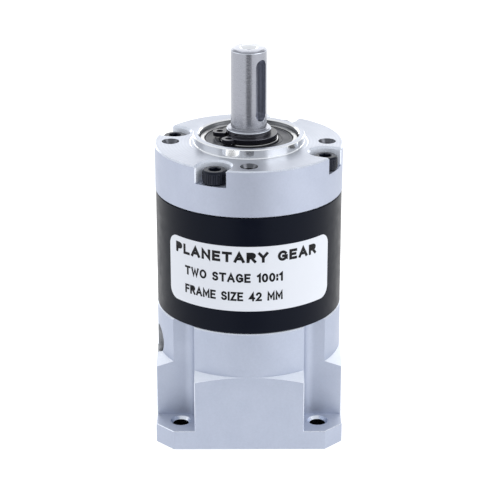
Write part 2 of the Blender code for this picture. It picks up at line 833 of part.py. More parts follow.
def build_planets(stage, span):
    for number, centre in enumerate(PLANET_CENTRES, 1):
        angle = math.atan2(centre[1], centre[0])
        bore_radius = (PIN_RADIUS + 0.04) / math.cos(math.pi / HOLE_SEGMENTS)
        gear = plate(planet_outline(angle), [circle(bore_radius, HOLE_SEGMENTS)], *span)
        gear.data.transform(Matrix.Translation((centre[0], centre[1], 0)))
        finish(gear, f"stage_{stage}_planet_{number}", "gear_steel", centre)


def build_pins(stage, cover, carrier):
    low, high = cover[0] + FIT_GAP, carrier[1] - FIT_GAP
    for number, centre in enumerate(PLANET_CENTRES, 1):
        pin = turned(
            [
                (0, low),
                (PIN_RADIUS - 0.2, low),
                (PIN_RADIUS, low + 0.2),
                (PIN_RADIUS, high - 0.2),
                (PIN_RADIUS - 0.2, high),
                (0, high),
            ],
            PIN_SEGMENTS,
            centre,
        )
        finish(pin, f"stage_{stage}_pin_{number}", "bearing_steel")


def build_cover(stage, span):
    holes = [circle(CARRIER_HOLE_RADIUS, HOLE_SEGMENTS)] + pin_circles()
    cover = plate(circle(CARRIER_RADIUS, SHAFT_SEGMENTS), holes, *span)
    finish(cover, f"stage_{stage}_cover", "gear_steel")


def build_sun(stage, stem_bottom, teeth_bottom, teeth_top):
    """A pinion on a short stem that is pressed into the part below it."""
    gear = prism(sun_outline(), teeth_bottom, teeth_top)
    stem = cylinder(PIN_RADIUS, stem_bottom, teeth_bottom + 0.5, PIN_SEGMENTS)
    combine(gear, [stem], "UNION")
    finish(gear, f"stage_{stage}_sun", "gear_steel")


def build_stage_1_carrier():
    holes = [circle(PIN_RADIUS + 0.03, PIN_SEGMENTS)] + pin_circles()
    carrier = plate(circle(CARRIER_RADIUS, SHAFT_SEGMENTS), holes, *STAGE_1_CARRIER)
    finish(carrier, "stage_1_carrier", "gear_steel")


# ---------------------------------------------------------------- input hub


def build_input_hub():
    """A split collar that clamps the motor shaft, with a neck that carries the first sun."""
    neck = INPUT_BEARING[0] - 0.02
    ring_low = INPUT_BEARING_Z + INPUT_BEARING[2] + 0.05
    shoulder = INPUT_BEARING_Z - FIT_GAP
    body = turned(
        [
            (MOTOR_SHAFT_RADIUS, HUB_BOTTOM),
            (HUB_RADIUS, HUB_BOTTOM),
            (HUB_RADIUS, HUB_TOP),
            (neck + 0.9, HUB_TOP),
            (neck + 0.9, shoulder),
            (neck, shoulder),
            (neck, ring_low),
            (HUB_GROOVE_RADIUS, ring_low),
            (HUB_GROOVE_RADIUS, ring_low + 0.75),
            (neck, ring_low + 0.75),
            (neck, NECK_TOP),
            (PIN_RADIUS + 0.03, NECK_TOP),
            (PIN_RADIUS + 0.03, SUN_SEAT_Z),
            (0, SUN_SEAT_Z),
            (0, SUN_SEAT_Z - 1.0),
            (MOTOR_SHAFT_RADIUS, SUN_SEAT_Z - 1.0),
        ],
        RACE_SEGMENTS,
    )
    half = SLIT_WIDTH / 2
    slit_outline = [(-half, -HUB_RADIUS - 1), (half, -HUB_RADIUS - 1), (half, 0), (-half, 0)]
    slit = prism(slit_outline, HUB_BOTTOM - 1.0, HUB_TOP - 0.8)
    shank_hole = turn_to_x(
        cylinder(SCREW_RADIUS + 0.1, -HUB_RADIUS - 1, CLAMP_LENGTH - 2.2, PIN_SEGMENTS),
        CLAMP_SCREW_Y,
        CLAMP_SCREW_Z,
    )
    head_hole = turn_to_x(
        cylinder(SCREW_HEAD_RADIUS + 0.2, -HUB_RADIUS - 1, CLAMP_HEAD_X + 0.05, HOLE_SEGMENTS),
        CLAMP_SCREW_Y,
        CLAMP_SCREW_Z,
    )
    combine(body, [slit, shank_hole, head_hole])
    finish(body, "input_hub", "gear_steel")


def build_clamp_screw():
    screw = socket_screw(
        SCREW_HEAD_RADIUS, CLAMP_HEAD_HEIGHT, SCREW_RADIUS, CLAMP_LENGTH, SCREW_SOCKET
    )
    screw.data.transform(Matrix.Rotation(-math.pi / 2, 4, "Y"))
    screw.data.transform(Matrix.Translation((CLAMP_HEAD_X, CLAMP_SCREW_Y, CLAMP_SCREW_Z)))
    finish(screw, "clamp_screw", "black_oxide")


def build_gearbox():
    clear_scene()
    build_motor_adapter()
    build_ring_gear()
    build_output_flange()
    build_flange_screws()
    build_nameplate()
    build_bearing_rings("front_bearing", OUTPUT_BEARING, OUTPUT_LANDS, FRONT_BEARING_Z)
    build_bearing_rings("rear_bearing", OUTPUT_BEARING, OUTPUT_LANDS, REAR_BEARING_Z)
    build_bearing_rings("input_bearing", INPUT_BEARING, INPUT_LANDS, INPUT_BEARING_Z)
    build_ball_cage("front_bearing", OUTPUT_BEARING, OUTPUT_LANDS, FRONT_BEARING_Z)
    build_ball_cage("rear_bearing", OUTPUT_BEARING, OUTPUT_LANDS, REAR_BEARING_Z)
    build_ball_cage("input_bearing", INPUT_BEARING, INPUT_LANDS, INPUT_BEARING_Z)
    build_front_seal()
    build_shaft_circlip()
    build_input_retainers()
    build_output_shaft()
    build_bearing_spacer()
    build_planets(2, STAGE_2_PLANETS)
    build_pins(2, STAGE_2_COVER, STAGE_2_CARRIER)
    build_cover(2, STAGE_2_COVER)
    build_sun(2, STAGE_1_CARRIER[0] + FIT_GAP, STAGE_1_CARRIER[1] + 0.2, STAGE_2_PLANETS[1] - 0.1)
    build_stage_1_carrier()
    build_planets(1, STAGE_1_PLANETS)
    build_pins(1, STAGE_1_COVER, STAGE_1_CARRIER)
    build_cover(1, STAGE_1_COVER)
    build_sun(1, SUN_SEAT_Z + FIT_GAP, NECK_TOP + 0.3, STAGE_1_PLANETS[1] - 0.1)
    build_input_hub()
    build_clamp_screw()


build_gearbox()
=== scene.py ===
"""Looks of the two-stage planetary gearbox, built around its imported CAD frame.

Pieces are modelled in millimetres in the frame's own coordinates and turned into metres when they
are finished. The base stands on z = 0, the output shaft points up and the nameplate faces -Y.
"""

import math

import bmesh
import bpy
from mathutils import Matrix, Vector


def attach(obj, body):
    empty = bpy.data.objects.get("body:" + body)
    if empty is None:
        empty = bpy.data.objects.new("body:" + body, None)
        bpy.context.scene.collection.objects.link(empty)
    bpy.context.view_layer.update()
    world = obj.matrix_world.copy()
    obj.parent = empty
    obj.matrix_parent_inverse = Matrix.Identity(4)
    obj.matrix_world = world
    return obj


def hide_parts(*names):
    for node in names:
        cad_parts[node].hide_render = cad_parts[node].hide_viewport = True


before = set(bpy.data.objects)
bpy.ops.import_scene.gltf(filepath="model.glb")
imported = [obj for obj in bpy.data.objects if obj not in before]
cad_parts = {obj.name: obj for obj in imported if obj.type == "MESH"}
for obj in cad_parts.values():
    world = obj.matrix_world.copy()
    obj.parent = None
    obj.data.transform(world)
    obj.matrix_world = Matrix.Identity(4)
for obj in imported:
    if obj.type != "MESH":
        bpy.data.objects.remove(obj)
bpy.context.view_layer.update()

MM = 0.001

# ---- how finely the round surfaces are divided ----
BODY_SEGMENTS = 192
BORE_SEGMENTS = 144
SHAFT_SEGMENTS = 96
HOLE_SEGMENTS = 48
ARC_STEPS = 10

# ---- case ----
CASE_RADIUS = 21.0
BARREL_RADIUS = 20.98
RING_GEAR_RADIUS = 20.9
RING_BOTTOM = 28.5
RING_TOP = 55.5
FLANGE_TOP = 66.2
BOSS_TOP = 68.2
BOSS_RADIUS = 12.5
REGISTER_RADIUS = 15.0
RING_TEETH_BOTTOM = 31.5
RING_TEETH_TOP = 52.2
FIT_GAP = 0.05
TOP_CHAMFER = 0.28
NOTCH_CHAMFER = 0.45
SIDE_CHAMFER = 0.14

# ---- motor adapter ----
FOOT_TOP = 4.6
FOOT_CORNER_CUT = 4.0
POST_HALF_WIDTH = 12.25
POST_FILLET = 2.5
SHOULDER_Z = 17.9
SHOULDER_SLOPE = 0.41
SHOULDER_NORMAL_Z = 1.0 / math.hypot(1.0, SHOULDER_SLOPE)
MOTOR_HOLE_OFFSET = 15.5
MOTOR_HOLE_RADIUS = 1.75
MOTOR_HOLE_MOUTH = 2.35
PILOT_RADIUS = 11.05
PILOT_DEPTH = 2.3
CAVITY_RADIUS = 10.5
ACCESS_HOLE_RADIUS = 3.25
CLAMP_SCREW_Y = -4.7
CLAMP_SCREW_Z = 20.4
CLAMP_SEAT_X = -2.65
CLAMP_HEAD_HEIGHT = 2.8
CLAMP_SCREW_LENGTH = 10.0

# ---- screws, notches and tapped holes ----
SCREW_CIRCLE = 18.3
FIRST_SCREW_ANGLE = math.radians(-113.7)
SCREW_RADIUS = 1.5
SCREW_HOLE_RADIUS = 1.62
SCREW_TIP_Z = 22.3
SCREW_HEAD_RADIUS = 2.75
SCREW_HEAD_HEIGHT = 3.0
SCREW_SOCKET = 2.5
SCREW_SOCKET_DEPTH = 1.5
SCREW_EDGE_BREAK = 0.06
KNURLS = 32
NOTCH_FLOOR_Z = 62.3
NOTCH_HALF_WIDTH = 3.5
TAPPED_CIRCLE = 17.45
TAPPED_RADIUS = 1.7
TAPPED_MOUTH = 1.95
TAPPED_BOTTOM_Z = 58.2
THREAD_PITCH = 0.7
THREAD_DEPTH = 0.22

# ---- nameplate ----
PLATE_BOTTOM = 33.9
PLATE_TOP = 49.05
PLATE_HALF_ANGLE = math.radians(56.0)
PLATE_CORNER = 2.5
PLATE_RADIUS = 20.96
PRINT_RADIUS = 20.985
PRINT_THICKNESS = 0.02
PRINT_STRIP = 0.4
# words, where they start along the film, length, foot of the letters, height, stroke per height
PRINTED_LINES = (
    ("PLANETARY GEAR", -18.2, 34.4, 45.35, 2.4, 0.26),
    ("TWO STAGE 100:1", -15.4, 22.9, 40.7, 2.1, 0.22),
    ("FRAME SIZE 42 MM", -15.4, 22.9, 36.35, 2.1, 0.21),
)

# ---- bearings: bore radius, outer radius, width, ball radius, number of balls ----
OUTPUT_BEARING = (5.0, 11.0, 6.0, 1.7, 7)
INPUT_BEARING = (6.0, 10.5, 5.0, 1.15, 7)
FRONT_BEARING_Z = 61.2
REAR_BEARING_Z = 52.6
INPUT_BEARING_Z = 24.6
OUTPUT_LANDS = (6.6, 9.85)
INPUT_LANDS = (7.2, 9.3)

# ---- output shaft ----
SHAFT_RADIUS = 4.0
SHAFT_TOP = 87.7
SHAFT_CHAMFER = 0.5
SHAFT_EDGE_BREAK = 0.05
CENTRE_HOLE_RADIUS = 1.25
CENTRE_HOLE_MOUTH = 2.0
CENTRE_HOLE_DEPTH = 8.0
JOURNAL_RADIUS = 4.98
SHOULDER_RADIUS = 6.1
COLLAR_TOP = 69.7
CARRIER_RADIUS = 13.2
CARRIER_SPAN = (49.5, 52.0)
CIRCLIP_Z = 67.38
CIRCLIP_THICKNESS = 1.0
CIRCLIP_GROOVE_RADIUS = 4.6
CIRCLIP_RADIUS = 6.3
CIRCLIP_GAP_ANGLE = math.radians(-160.0)
CIRCLIP_EDGE_BREAK = 0.09
EAR_LEAN = math.radians(27.0)
EAR_ROOT = 5.1
EAR_HALF_WIDTH = 1.45
EAR_TIP = (6.9, 1.15)
EAR_HOLE_CIRCLE = 6.5
EAR_HOLE_RADIUS = 0.75
KEYWAY_WIDTH = 3.0
KEYWAY_FLOOR = 2.2
KEYWAY_BOTTOM_Z = 71.6
KEYWAY_TOP_Z = 85.6
KEYWAY_ANGLE = math.radians(-45.0)
PIN_RADIUS = 1.5

# ---- gear train ----
MODULE = 0.35
SUN_TEETH = 9
PLANET_TEETH = 36
RING_TEETH = 81
PRESSURE_ANGLE = math.radians(20.0)
TOOTH_PLAY = 0.04
DEDENDUM = 0.40
CENTRE_DISTANCE = MODULE * (SUN_TEETH + PLANET_TEETH) / 2
FIRST_PLANET_ANGLE = math.radians(90.0)

# ---- input hub ----
HUB_RADIUS = 9.5
HUB_BOTTOM = 12.5
HUB_TOP = 23.8
MOTOR_SHAFT_RADIUS = 2.52
NECK_TOP = 31.0
SUN_SEAT_Z = 26.0
HUB_GROOVE_RADIUS = 5.6
HUB_GROOVE_WIDTH = 0.75
HUB_SLIT_HALF_WIDTH = 0.5
HUB_EDGE_BREAK = 0.08


# ================================================================ mesh builders


def to_object(bm):
    bmesh.ops.recalc_face_normals(bm, faces=bm.faces[:])
    mesh = bpy.data.meshes.new("draft")
    bm.to_mesh(mesh)
    bm.free()
    item = bpy.data.objects.new("draft", mesh)
    bpy.context.scene.collection.objects.link(item)
    return item


def polar(radius, angle):
    return (radius * math.cos(angle), radius * math.sin(angle))


def spread(count, first=0.0):
    return [first + 2 * math.pi * index / count for index in range(count)]


def turned(profile, segments, centre=(0.0, 0.0), phase=0.0):
    """A body of revolution about a vertical axis from a closed (radius, height) profile."""
    bm = bmesh.new()
    columns = []
    for radius, height in profile:
        if radius == 0:
            columns.append([bm.verts.new((centre[0], centre[1], height))])
            continue
        column = []
        for angle in spread(segments, phase):
            x, y = polar(radius, angle)
            column.append(bm.verts.new((centre[0] + x, centre[1] + y, height)))
        columns.append(column)
    for index, column in enumerate(columns):
        other = columns[(index + 1) % len(columns)]
        if len(column) == 1 and len(other) == 1:
            continue
        for step in range(segments):
            after = (step + 1) % segments
            corners = []
            for ring, place in ((column, step), (column, after), (other, after), (other, step)):
                vertex = ring[place % len(ring)]
                if vertex not in corners:
                    corners.append(vertex)
            if len(corners) > 2:
                bm.faces.new(corners)
    return to_object(bm)


def stacked(layers):
    """A solid through (outline, height) layers that all have the same number of points."""
    bm = bmesh.new()
    rows = [[bm.verts.new((x, y, height)) for x, y in outline] for outline, height in layers]
    bm.faces.new(rows[0])
    bm.faces.new(rows[-1])
    for low, high in zip(rows, rows[1:]):
        for index in range(len(low)):
            after = (index + 1) % len(low)
            bm.faces.new((low[index], low[after], high[after], high[index]))
    return to_object(bm)


def prism(outline, bottom, top):
    return stacked([(outline, bottom), (outline, top)])


def gathered(items):
    """Several drafts as one mesh."""
    bm = bmesh.new()
    for item in items:
        bm.from_mesh(item.data)
        bpy.data.objects.remove(item, do_unlink=True)
    return to_object(bm)


def cylinder(radius, bottom, top, segments, centre=(0.0, 0.0)):
    return turned([(0, bottom), (radius, bottom), (radius, top), (0, top)], segments, centre)


def turn_to_x(item, y, z):
    """Lay a vertical body down along +X and move its axis to the given y and z."""
    item.data.transform(Matrix.Translation((0, y, z)) @ Matrix.Rotation(math.pi / 2, 4, "Y"))
    return item


def triangulate(item):
    bm = bmesh.new()
    bm.from_mesh(item.data)
    bmesh.ops.triangulate(bm, faces=bm.faces[:])
    bm.to_mesh(item.data)
    bm.free()


def merge_flat_faces(item):
    bm = bmesh.new()
    bm.from_mesh(item.data)
    bmesh.ops.remove_doubles(bm, verts=bm.verts[:], dist=0.002)
    bmesh.ops.dissolve_degenerate(bm, edges=bm.edges[:], dist=0.02)
    bmesh.ops.dissolve_limit(
        bm, angle_limit=math.radians(0.1), verts=bm.verts[:], edges=bm.edges[:]
    )
    bm.to_mesh(item.data)
    bm.free()


def combine(body, tools, operation="DIFFERENCE"):
    """Cut the tools from the body, join them to it or keep what they share, and drop the tools."""
    for tool in tools:
        triangulate(body)
        triangulate(tool)
        modifier = body.modifiers.new(operation, "BOOLEAN")
        modifier.operation = operation
        modifier.solver = "EXACT"
        modifier.object = tool
        graph = bpy.context.evaluated_depsgraph_get()
        result = bpy.data.meshes.new_from_object(body.evaluated_get(graph))
        body.modifiers.clear()
        body.data = result
    for tool in tools:
        bpy.data.objects.remove(tool, do_unlink=True)
    merge_flat_faces(body)
    return body


def rounded(profile, radius, steps=3):
    """A closed (radius, height) profile with its corners rounded; a corner on the axis stays."""
    points = []
    count = len(profile)
    for index, corner in enumerate(profile):
        here = Vector(corner)
        before = Vector(profile[index - 1]) - here
        after = Vector(profile[(index + 1) % count]) - here
        reach = min(radius, before.length * 0.45, after.length * 0.45)
        if corner[0] == 0 or reach < 0.01:
            points.append(corner)
            continue
        start = here + before.normalized() * reach
        end = here + after.normalized() * reach
        for step in range(steps + 1):
            t = step / steps
            point = start * (1 - t) ** 2 + here * 2 * t * (1 - t) + end * t**2
            points.append((point.x, point.y))
    return points


def soften(item, width, edge_material, angle=25.0, rule=None):
    """Bevel the convex edges. rule(middle of the edge) gives each edge's share of the width."""
    bm = bmesh.new()
    bm.from_mesh(item.data)
    bmesh.ops.remove_doubles(bm, verts=bm.verts[:], dist=0.03)
    bmesh.ops.dissolve_degenerate(bm, edges=bm.edges[:], dist=0.03)
    bmesh.ops.dissolve_limit(
        bm, angle_limit=math.radians(0.3), verts=bm.verts[:], edges=bm.edges[:]
    )
    layer = bm.edges.layers.float.new("bevel_weight_edge")
    for edge in bm.edges:
        sharp = edge.is_manifold and edge.calc_face_angle(0.0) > math.radians(angle)
        if sharp and edge.is_convex:
            middle = (edge.verts[0].co + edge.verts[1].co) / 2
            edge[layer] = 1.0 if rule is None else rule(middle)
    bm.to_mesh(item.data)
    bm.free()
    bevel = item.modifiers.new("edge_break", "BEVEL")
    bevel.width = width * MM
    bevel.segments = 2
    bevel.limit_method = "WEIGHT"
    bevel.harden_normals = True
    bevel.use_clamp_overlap = False
    # The bevel faces take edge_material, which is lighter than the piece: partly the edge's own
    # finish, partly a painted highlight
    item.data.materials.append(edge_material)
    bevel.material = len(item.data.materials) - 1


def finish(item, name, body, slot, material, stands_for=(), smooth=30.0, edge=None):
    """Name the piece, turn it into metres, give it its look and fasten it to its body."""
    item.name = name
    item.data.name = name
    item.data.materials.clear()
    item.data.materials.append(material)
    if edge:
        soften(item, **edge)
    item.data.transform(Matrix.Scale(MM, 4))
    item.data.shade_smooth()
    item.data.set_sharp_from_angle(angle=math.radians(smooth))
    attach(item, body)
    if stands_for:
        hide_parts(*stands_for)
    return item


def paint_faces(item, materials, choose):
    """choose(middle, normal, nearest and furthest corner from the axis) picks a material or None."""
    for material in materials:
        item.data.materials.append(material)
    first = len(item.data.materials) - len(materials)
    for face in item.data.polygons:
        radii = [math.hypot(*item.data.vertices[v].co.xy) / MM for v in face.vertices]
        choice = choose(face.center / MM, face.normal, min(radii), max(radii))
        if choice is not None:
            face.material_index = first + materials.index(choice)


SCREW_CENTRES = [polar(SCREW_CIRCLE, angle) for angle in spread(4, FIRST_SCREW_ANGLE)]
TAPPED_CENTRES = [polar(TAPPED_CIRCLE, angle) for angle in spread(4)]
PLANET_CENTRES = [polar(CENTRE_DISTANCE, angle) for angle in spread(3, FIRST_PLANET_ANGLE)]


# ================================================================ materials


class Look:
    """A Principled material with procedural grain, colour variation and fine relief."""

    def __init__(self, name, colour, roughness, metallic):
        self.material = bpy.data.materials.new(name)
        self.material.use_nodes = True
        self.tree = self.material.node_tree
        self.shader = self.tree.nodes["Principled BSDF"]
        self.shader.inputs["Base Color"].default_value = (*colour, 1.0)
        self.shader.inputs["Roughness"].default_value = roughness
        self.shader.inputs["Metallic"].default_value = metallic
        self.colour = colour
        self.roughness = roughness
        self.place = self.add("ShaderNodeTexCoord").outputs["Object"]
        self.relief = None

    def add(self, kind, **settings):
        node = self.tree.nodes.new(kind)
        for key, value in settings.items():
            if key in node.inputs.keys():
                node.inputs[key].default_value = value
            else:
                setattr(node, key, value)
        return node

    def link(self, output, target):
        self.tree.links.new(output, target)

    def noise(self, size, stretch=(1.0, 1.0, 1.0), detail=4.0):
        """Noise whose features are about size millimetres across, drawn out along an axis."""
        mapping = self.add("ShaderNodeMapping")
        mapping.inputs["Scale"].default_value = stretch
        self.link(self.place, mapping.inputs["Vector"])
        noise = self.add("ShaderNodeTexNoise", Scale=1.0 / (size * MM), Detail=detail)
        self.link(mapping.outputs["Vector"], noise.inputs["Vector"])
        return noise.outputs["Fac"]

    def rings(self, pitch):
        """Turning marks: fine rings about the vertical axis, pitch millimetres apart."""
        wave = self.add(
            "ShaderNodeTexWave",
            wave_type="RINGS",
            rings_direction="Z",
            Scale=1.0 / (pitch * MM) / 20.0,
            Distortion=0.6,
            Detail=2.0,
        )
        self.link(self.place, wave.inputs["Vector"])
        return wave.outputs["Fac"]

    def vary_colour(self, mask, darker, lighter):
        """Base colour runs from darker to lighter times the plain colour."""
        mix = self.add("ShaderNodeMix", data_type="RGBA")
        mix.inputs[6].default_value = (*[c * darker for c in self.colour], 1.0)
        mix.inputs[7].default_value = (*[min(1.0, c * lighter) for c in self.colour], 1.0)
        self.link(mask, mix.inputs[0])
        self.link(mix.outputs[2], self.shader.inputs["Base Color"])

    def vary_roughness(self, mask, spread_by):
        spread_node = self.add("ShaderNodeMapRange")
        spread_node.inputs["From Min"].default_value = 0.3
        spread_node.inputs["From Max"].default_value = 0.7
        spread_node.inputs["To Min"].default_value = self.roughness - spread_by
        spread_node.inputs["To Max"].default_value = self.roughness + spread_by
        self.link(mask, spread_node.inputs["Value"])
        self.link(spread_node.outputs["Result"], self.shader.inputs["Roughness"])

    def emboss(self, mask, depth, strength=0.5):
        """Relief of about depth millimetres; several reliefs add up."""
        bump = self.add("ShaderNodeBump", Strength=strength, Distance=depth * MM)
        self.link(mask, bump.inputs["Height"])
        if self.relief:
            self.link(self.relief, bump.inputs["Normal"])
        self.relief = bump.outputs["Normal"]
        self.link(self.relief, self.shader.inputs["Normal"])

    def turned_gloss(self, amount):
        """Gloss drawn out across turning marks that run round the vertical axis."""
        self.shader.inputs["Anisotropic"].default_value = amount
        self.shader.inputs["Anisotropic Rotation"].default_value = 0.25
        tangent = self.add("ShaderNodeTangent", direction_type="RADIAL", axis="Z")
        self.link(tangent.outputs["Tangent"], self.shader.inputs["Tangent"])


def blasted_aluminium(name, colour, roughness, metallic=1.0):
    look = Look(name, colour, roughness, metallic)
    look.vary_colour(look.noise(0.45, detail=6.0), 0.93, 1.05)
    look.vary_roughness(look.noise(5.0), 0.04)
    look.emboss(look.noise(0.16), 0.012, 0.5)
    look.emboss(look.noise(0.5), 0.02, 0.25)
    return look.material


def turned_aluminium(name, colour, roughness, gloss):
    look = Look(name, colour, roughness, 1.0)
    look.vary_colour(look.rings(0.12), 0.94, 1.03)
    look.vary_roughness(look.noise(3.0), 0.03)
    look.emboss(look.rings(0.1), 0.004, 0.35)
    look.emboss(look.noise(0.3), 0.006, 0.2)
    look.turned_gloss(gloss)
    return look.material


def ground_steel(name, colour, roughness):
    look = Look(name, colour, roughness, 1.0)
    look.vary_colour(look.noise(1.2, (1.0, 1.0, 14.0)), 0.84, 1.1)
    look.vary_roughness(look.noise(1.5, (1.0, 1.0, 6.0)), 0.05)
    look.emboss(look.noise(0.8, (1.0, 1.0, 18.0)), 0.004, 0.4)
    return look.material


def dark_finish(name, colour, roughness, metallic, grain, relief, variation=0.2, shine=0.5):
    look = Look(name, colour, roughness, metallic)
    look.shader.inputs["Specular IOR Level"].default_value = shine
    look.vary_colour(look.noise(grain * 3), 1.0 - variation, 1.0 + variation)
    look.vary_roughness(look.noise(2.5), 0.05)
    look.emboss(look.noise(grain), relief, 0.5)
    return look.material


def plain_metal(name, colour, roughness):
    look = Look(name, colour, roughness, 1.0)
    look.vary_colour(look.noise(1.0), 0.88, 1.08)
    look.vary_roughness(look.noise(1.4), 0.05)
    look.emboss(look.noise(0.25, (1.0, 1.0, 4.0)), 0.005, 0.4)
    return look.material


def streaked_steel(name, colour, roughness):
    """Milled along the shaft: light and dark streaks that run up and down."""
    look = Look(name, colour, roughness, 1.0)
    look.vary_colour(look.noise(0.5, (1.0, 1.0, 0.02), detail=2.0), 0.1, 2.4)
    look.emboss(look.noise(0.2, (1.0, 1.0, 0.05)), 0.01, 0.5)
    return look.material


CAST = blasted_aluminium("adapter_aluminium", (0.455, 0.495, 0.595), 0.56)
# Lighter, smoother aluminium for chamfers, hole mouths and bevelled edges, on steel pieces too: partly
# a machined edge finish, partly a painted highlight
MACHINED_EDGE_AND_HIGHLIGHT = plain_metal("machined_edge_and_painted_highlight", (0.72, 0.76, 0.84), 0.28)
SATIN = blasted_aluminium("flange_aluminium", (0.455, 0.49, 0.585), 0.56)
TURNED = turned_aluminium("turned_aluminium", (0.95, 0.96, 0.98), 0.12, 0.65)
FACED = turned_aluminium("faced_aluminium", (0.36, 0.38, 0.43), 0.40, 0.45)
# A lighter, less metallic copy of the cast aluminium: painted light that makes the adapter's shoulder
# facets and the flange's notch walls read lighter
LIGHTENED_ALUMINIUM = blasted_aluminium("aluminium_with_painted_light", (0.78, 0.82, 0.90), 0.48, 0.2)
FOOT_METAL = blasted_aluminium("foot_aluminium", (0.52, 0.56, 0.66), 0.52, 0.6)
# Near-black aluminium for the walls of the motor holes and the tapped holes: painted shade inside the
# holes; its turning marks are real
HOLE_SHADE_METAL = turned_aluminium("hole_wall_painted_shade", (0.11, 0.115, 0.13), 0.25, 0.3)
# Bored aluminium kept darker than the cast body: its turning marks are real, its darkness is painted
# shade inside the flange bore and the access hole
SHADED_BORE_METAL = turned_aluminium("bored_aluminium_painted_shade", (0.34, 0.35, 0.37), 0.3, 0.4)
BLACK = dark_finish("black_anodised_look", (0.002, 0.003, 0.008), 0.36, 0.0, 0.2, 0.006, 0.2, 0.11)
SHAFT_STEEL = ground_steel("shaft_steel", (0.33, 0.34, 0.38), 0.24)
SLOT_STEEL = streaked_steel("milled_steel", (0.26, 0.27, 0.31), 0.25)
# Dark ground steel for the journal band; inside the centre hole its darkness is painted shade
JOURNAL_STEEL_AND_HOLE_SHADE = ground_steel("journal_steel_and_hole_shade", (0.20, 0.20, 0.23), 0.2)
RACE_STEEL = ground_steel("race_steel", (0.42, 0.42, 0.42), 0.2)
GEAR_STEEL = plain_metal("gear_steel_look", (0.36, 0.36, 0.38), 0.33)
OXIDE = dark_finish("black_oxide_look", (0.003, 0.005, 0.012), 0.3, 0.0, 0.15, 0.008, 0.2, 0.16)
# Lighter, more metallic oxide on every bevelled screw edge: partly rubbed wear, partly a painted glint
OXIDE_WEAR_AND_GLINT = dark_finish("worn_oxide_and_painted_glint", (0.020, 0.023, 0.036), 0.3, 0.6, 0.15, 0.006)
SPRING = dark_finish("spring_steel_look", (0.008, 0.008, 0.013), 0.3, 0.2, 0.3, 0.006, 0.2, 0.3)
# Lighter steel on the circlip's bevelled edges: partly the bare stamped edge, partly a painted glint
STAMPED_EDGE_AND_GLINT = plain_metal("stamped_edge_and_painted_glint", (0.13, 0.13, 0.15), 0.25)
RUBBER = dark_finish("seal_rubber_look", (0.008, 0.010, 0.020), 0.36, 0.0, 0.25, 0.01, 0.2, 0.3)
CAGE = dark_finish("cage_polymer_look", (0.35, 0.27, 0.16), 0.5, 0.0, 0.3, 0.01)
FILM = dark_finish("label_film_look", (0.665, 0.69, 0.745), 0.4, 0.0, 1.2, 0.002, 0.02, 0.35)
BLACK.node_tree.nodes["Principled BSDF"].inputs["Specular Tint"].default_value = (
    0.78, 0.86, 1.0, 1.0,
)
INK = dark_finish("printing_ink", (0.004, 0.004, 0.006), 0.5, 0.0, 0.2, 0.002, 0.2, 0.2)


def repaint(item, material):
    item.data.materials.clear()
    item.data.materials.append(material)


# ================================================================ case


def post_outline():
    """A cross with filleted inner corners: the four posts between the corner pockets."""
    half, reach = POST_HALF_WIDTH, CASE_RADIUS
    points = []
    for quarter in range(4):
        turn = quarter * math.pi / 2
        corner = [(reach, half - SIDE_CHAMFER), (reach - SIDE_CHAMFER, half)]
        for step in range(ARC_STEPS + 1):
            angle = math.radians(-90 - 90 * step / ARC_STEPS)
            x = half + POST_FILLET + POST_FILLET * math.cos(angle)
            y = half + POST_FILLET + POST_FILLET * math.sin(angle)
            corner.append((x, y))
        corner += [(half, reach - SIDE_CHAMFER), (half - SIDE_CHAMFER, reach)]
        for x, y in corner:
            points.append(
                (x * math.cos(turn) - y * math.sin(turn), x * math.sin(turn) + y * math.cos(turn))
            )
    return points


def foot_outline(inset):
    reach = CASE_RADIUS - inset
    short = CASE_RADIUS - FOOT_CORNER_CUT - inset * math.tan(math.pi / 8)
    corner = [(reach, short), (short, reach)]
    points = []
    for quarter in range(4):
        turn = Matrix.Rotation(quarter * math.pi / 2, 2)
        points += [tuple(turn @ Vector(point)) for point in corner]
    return points


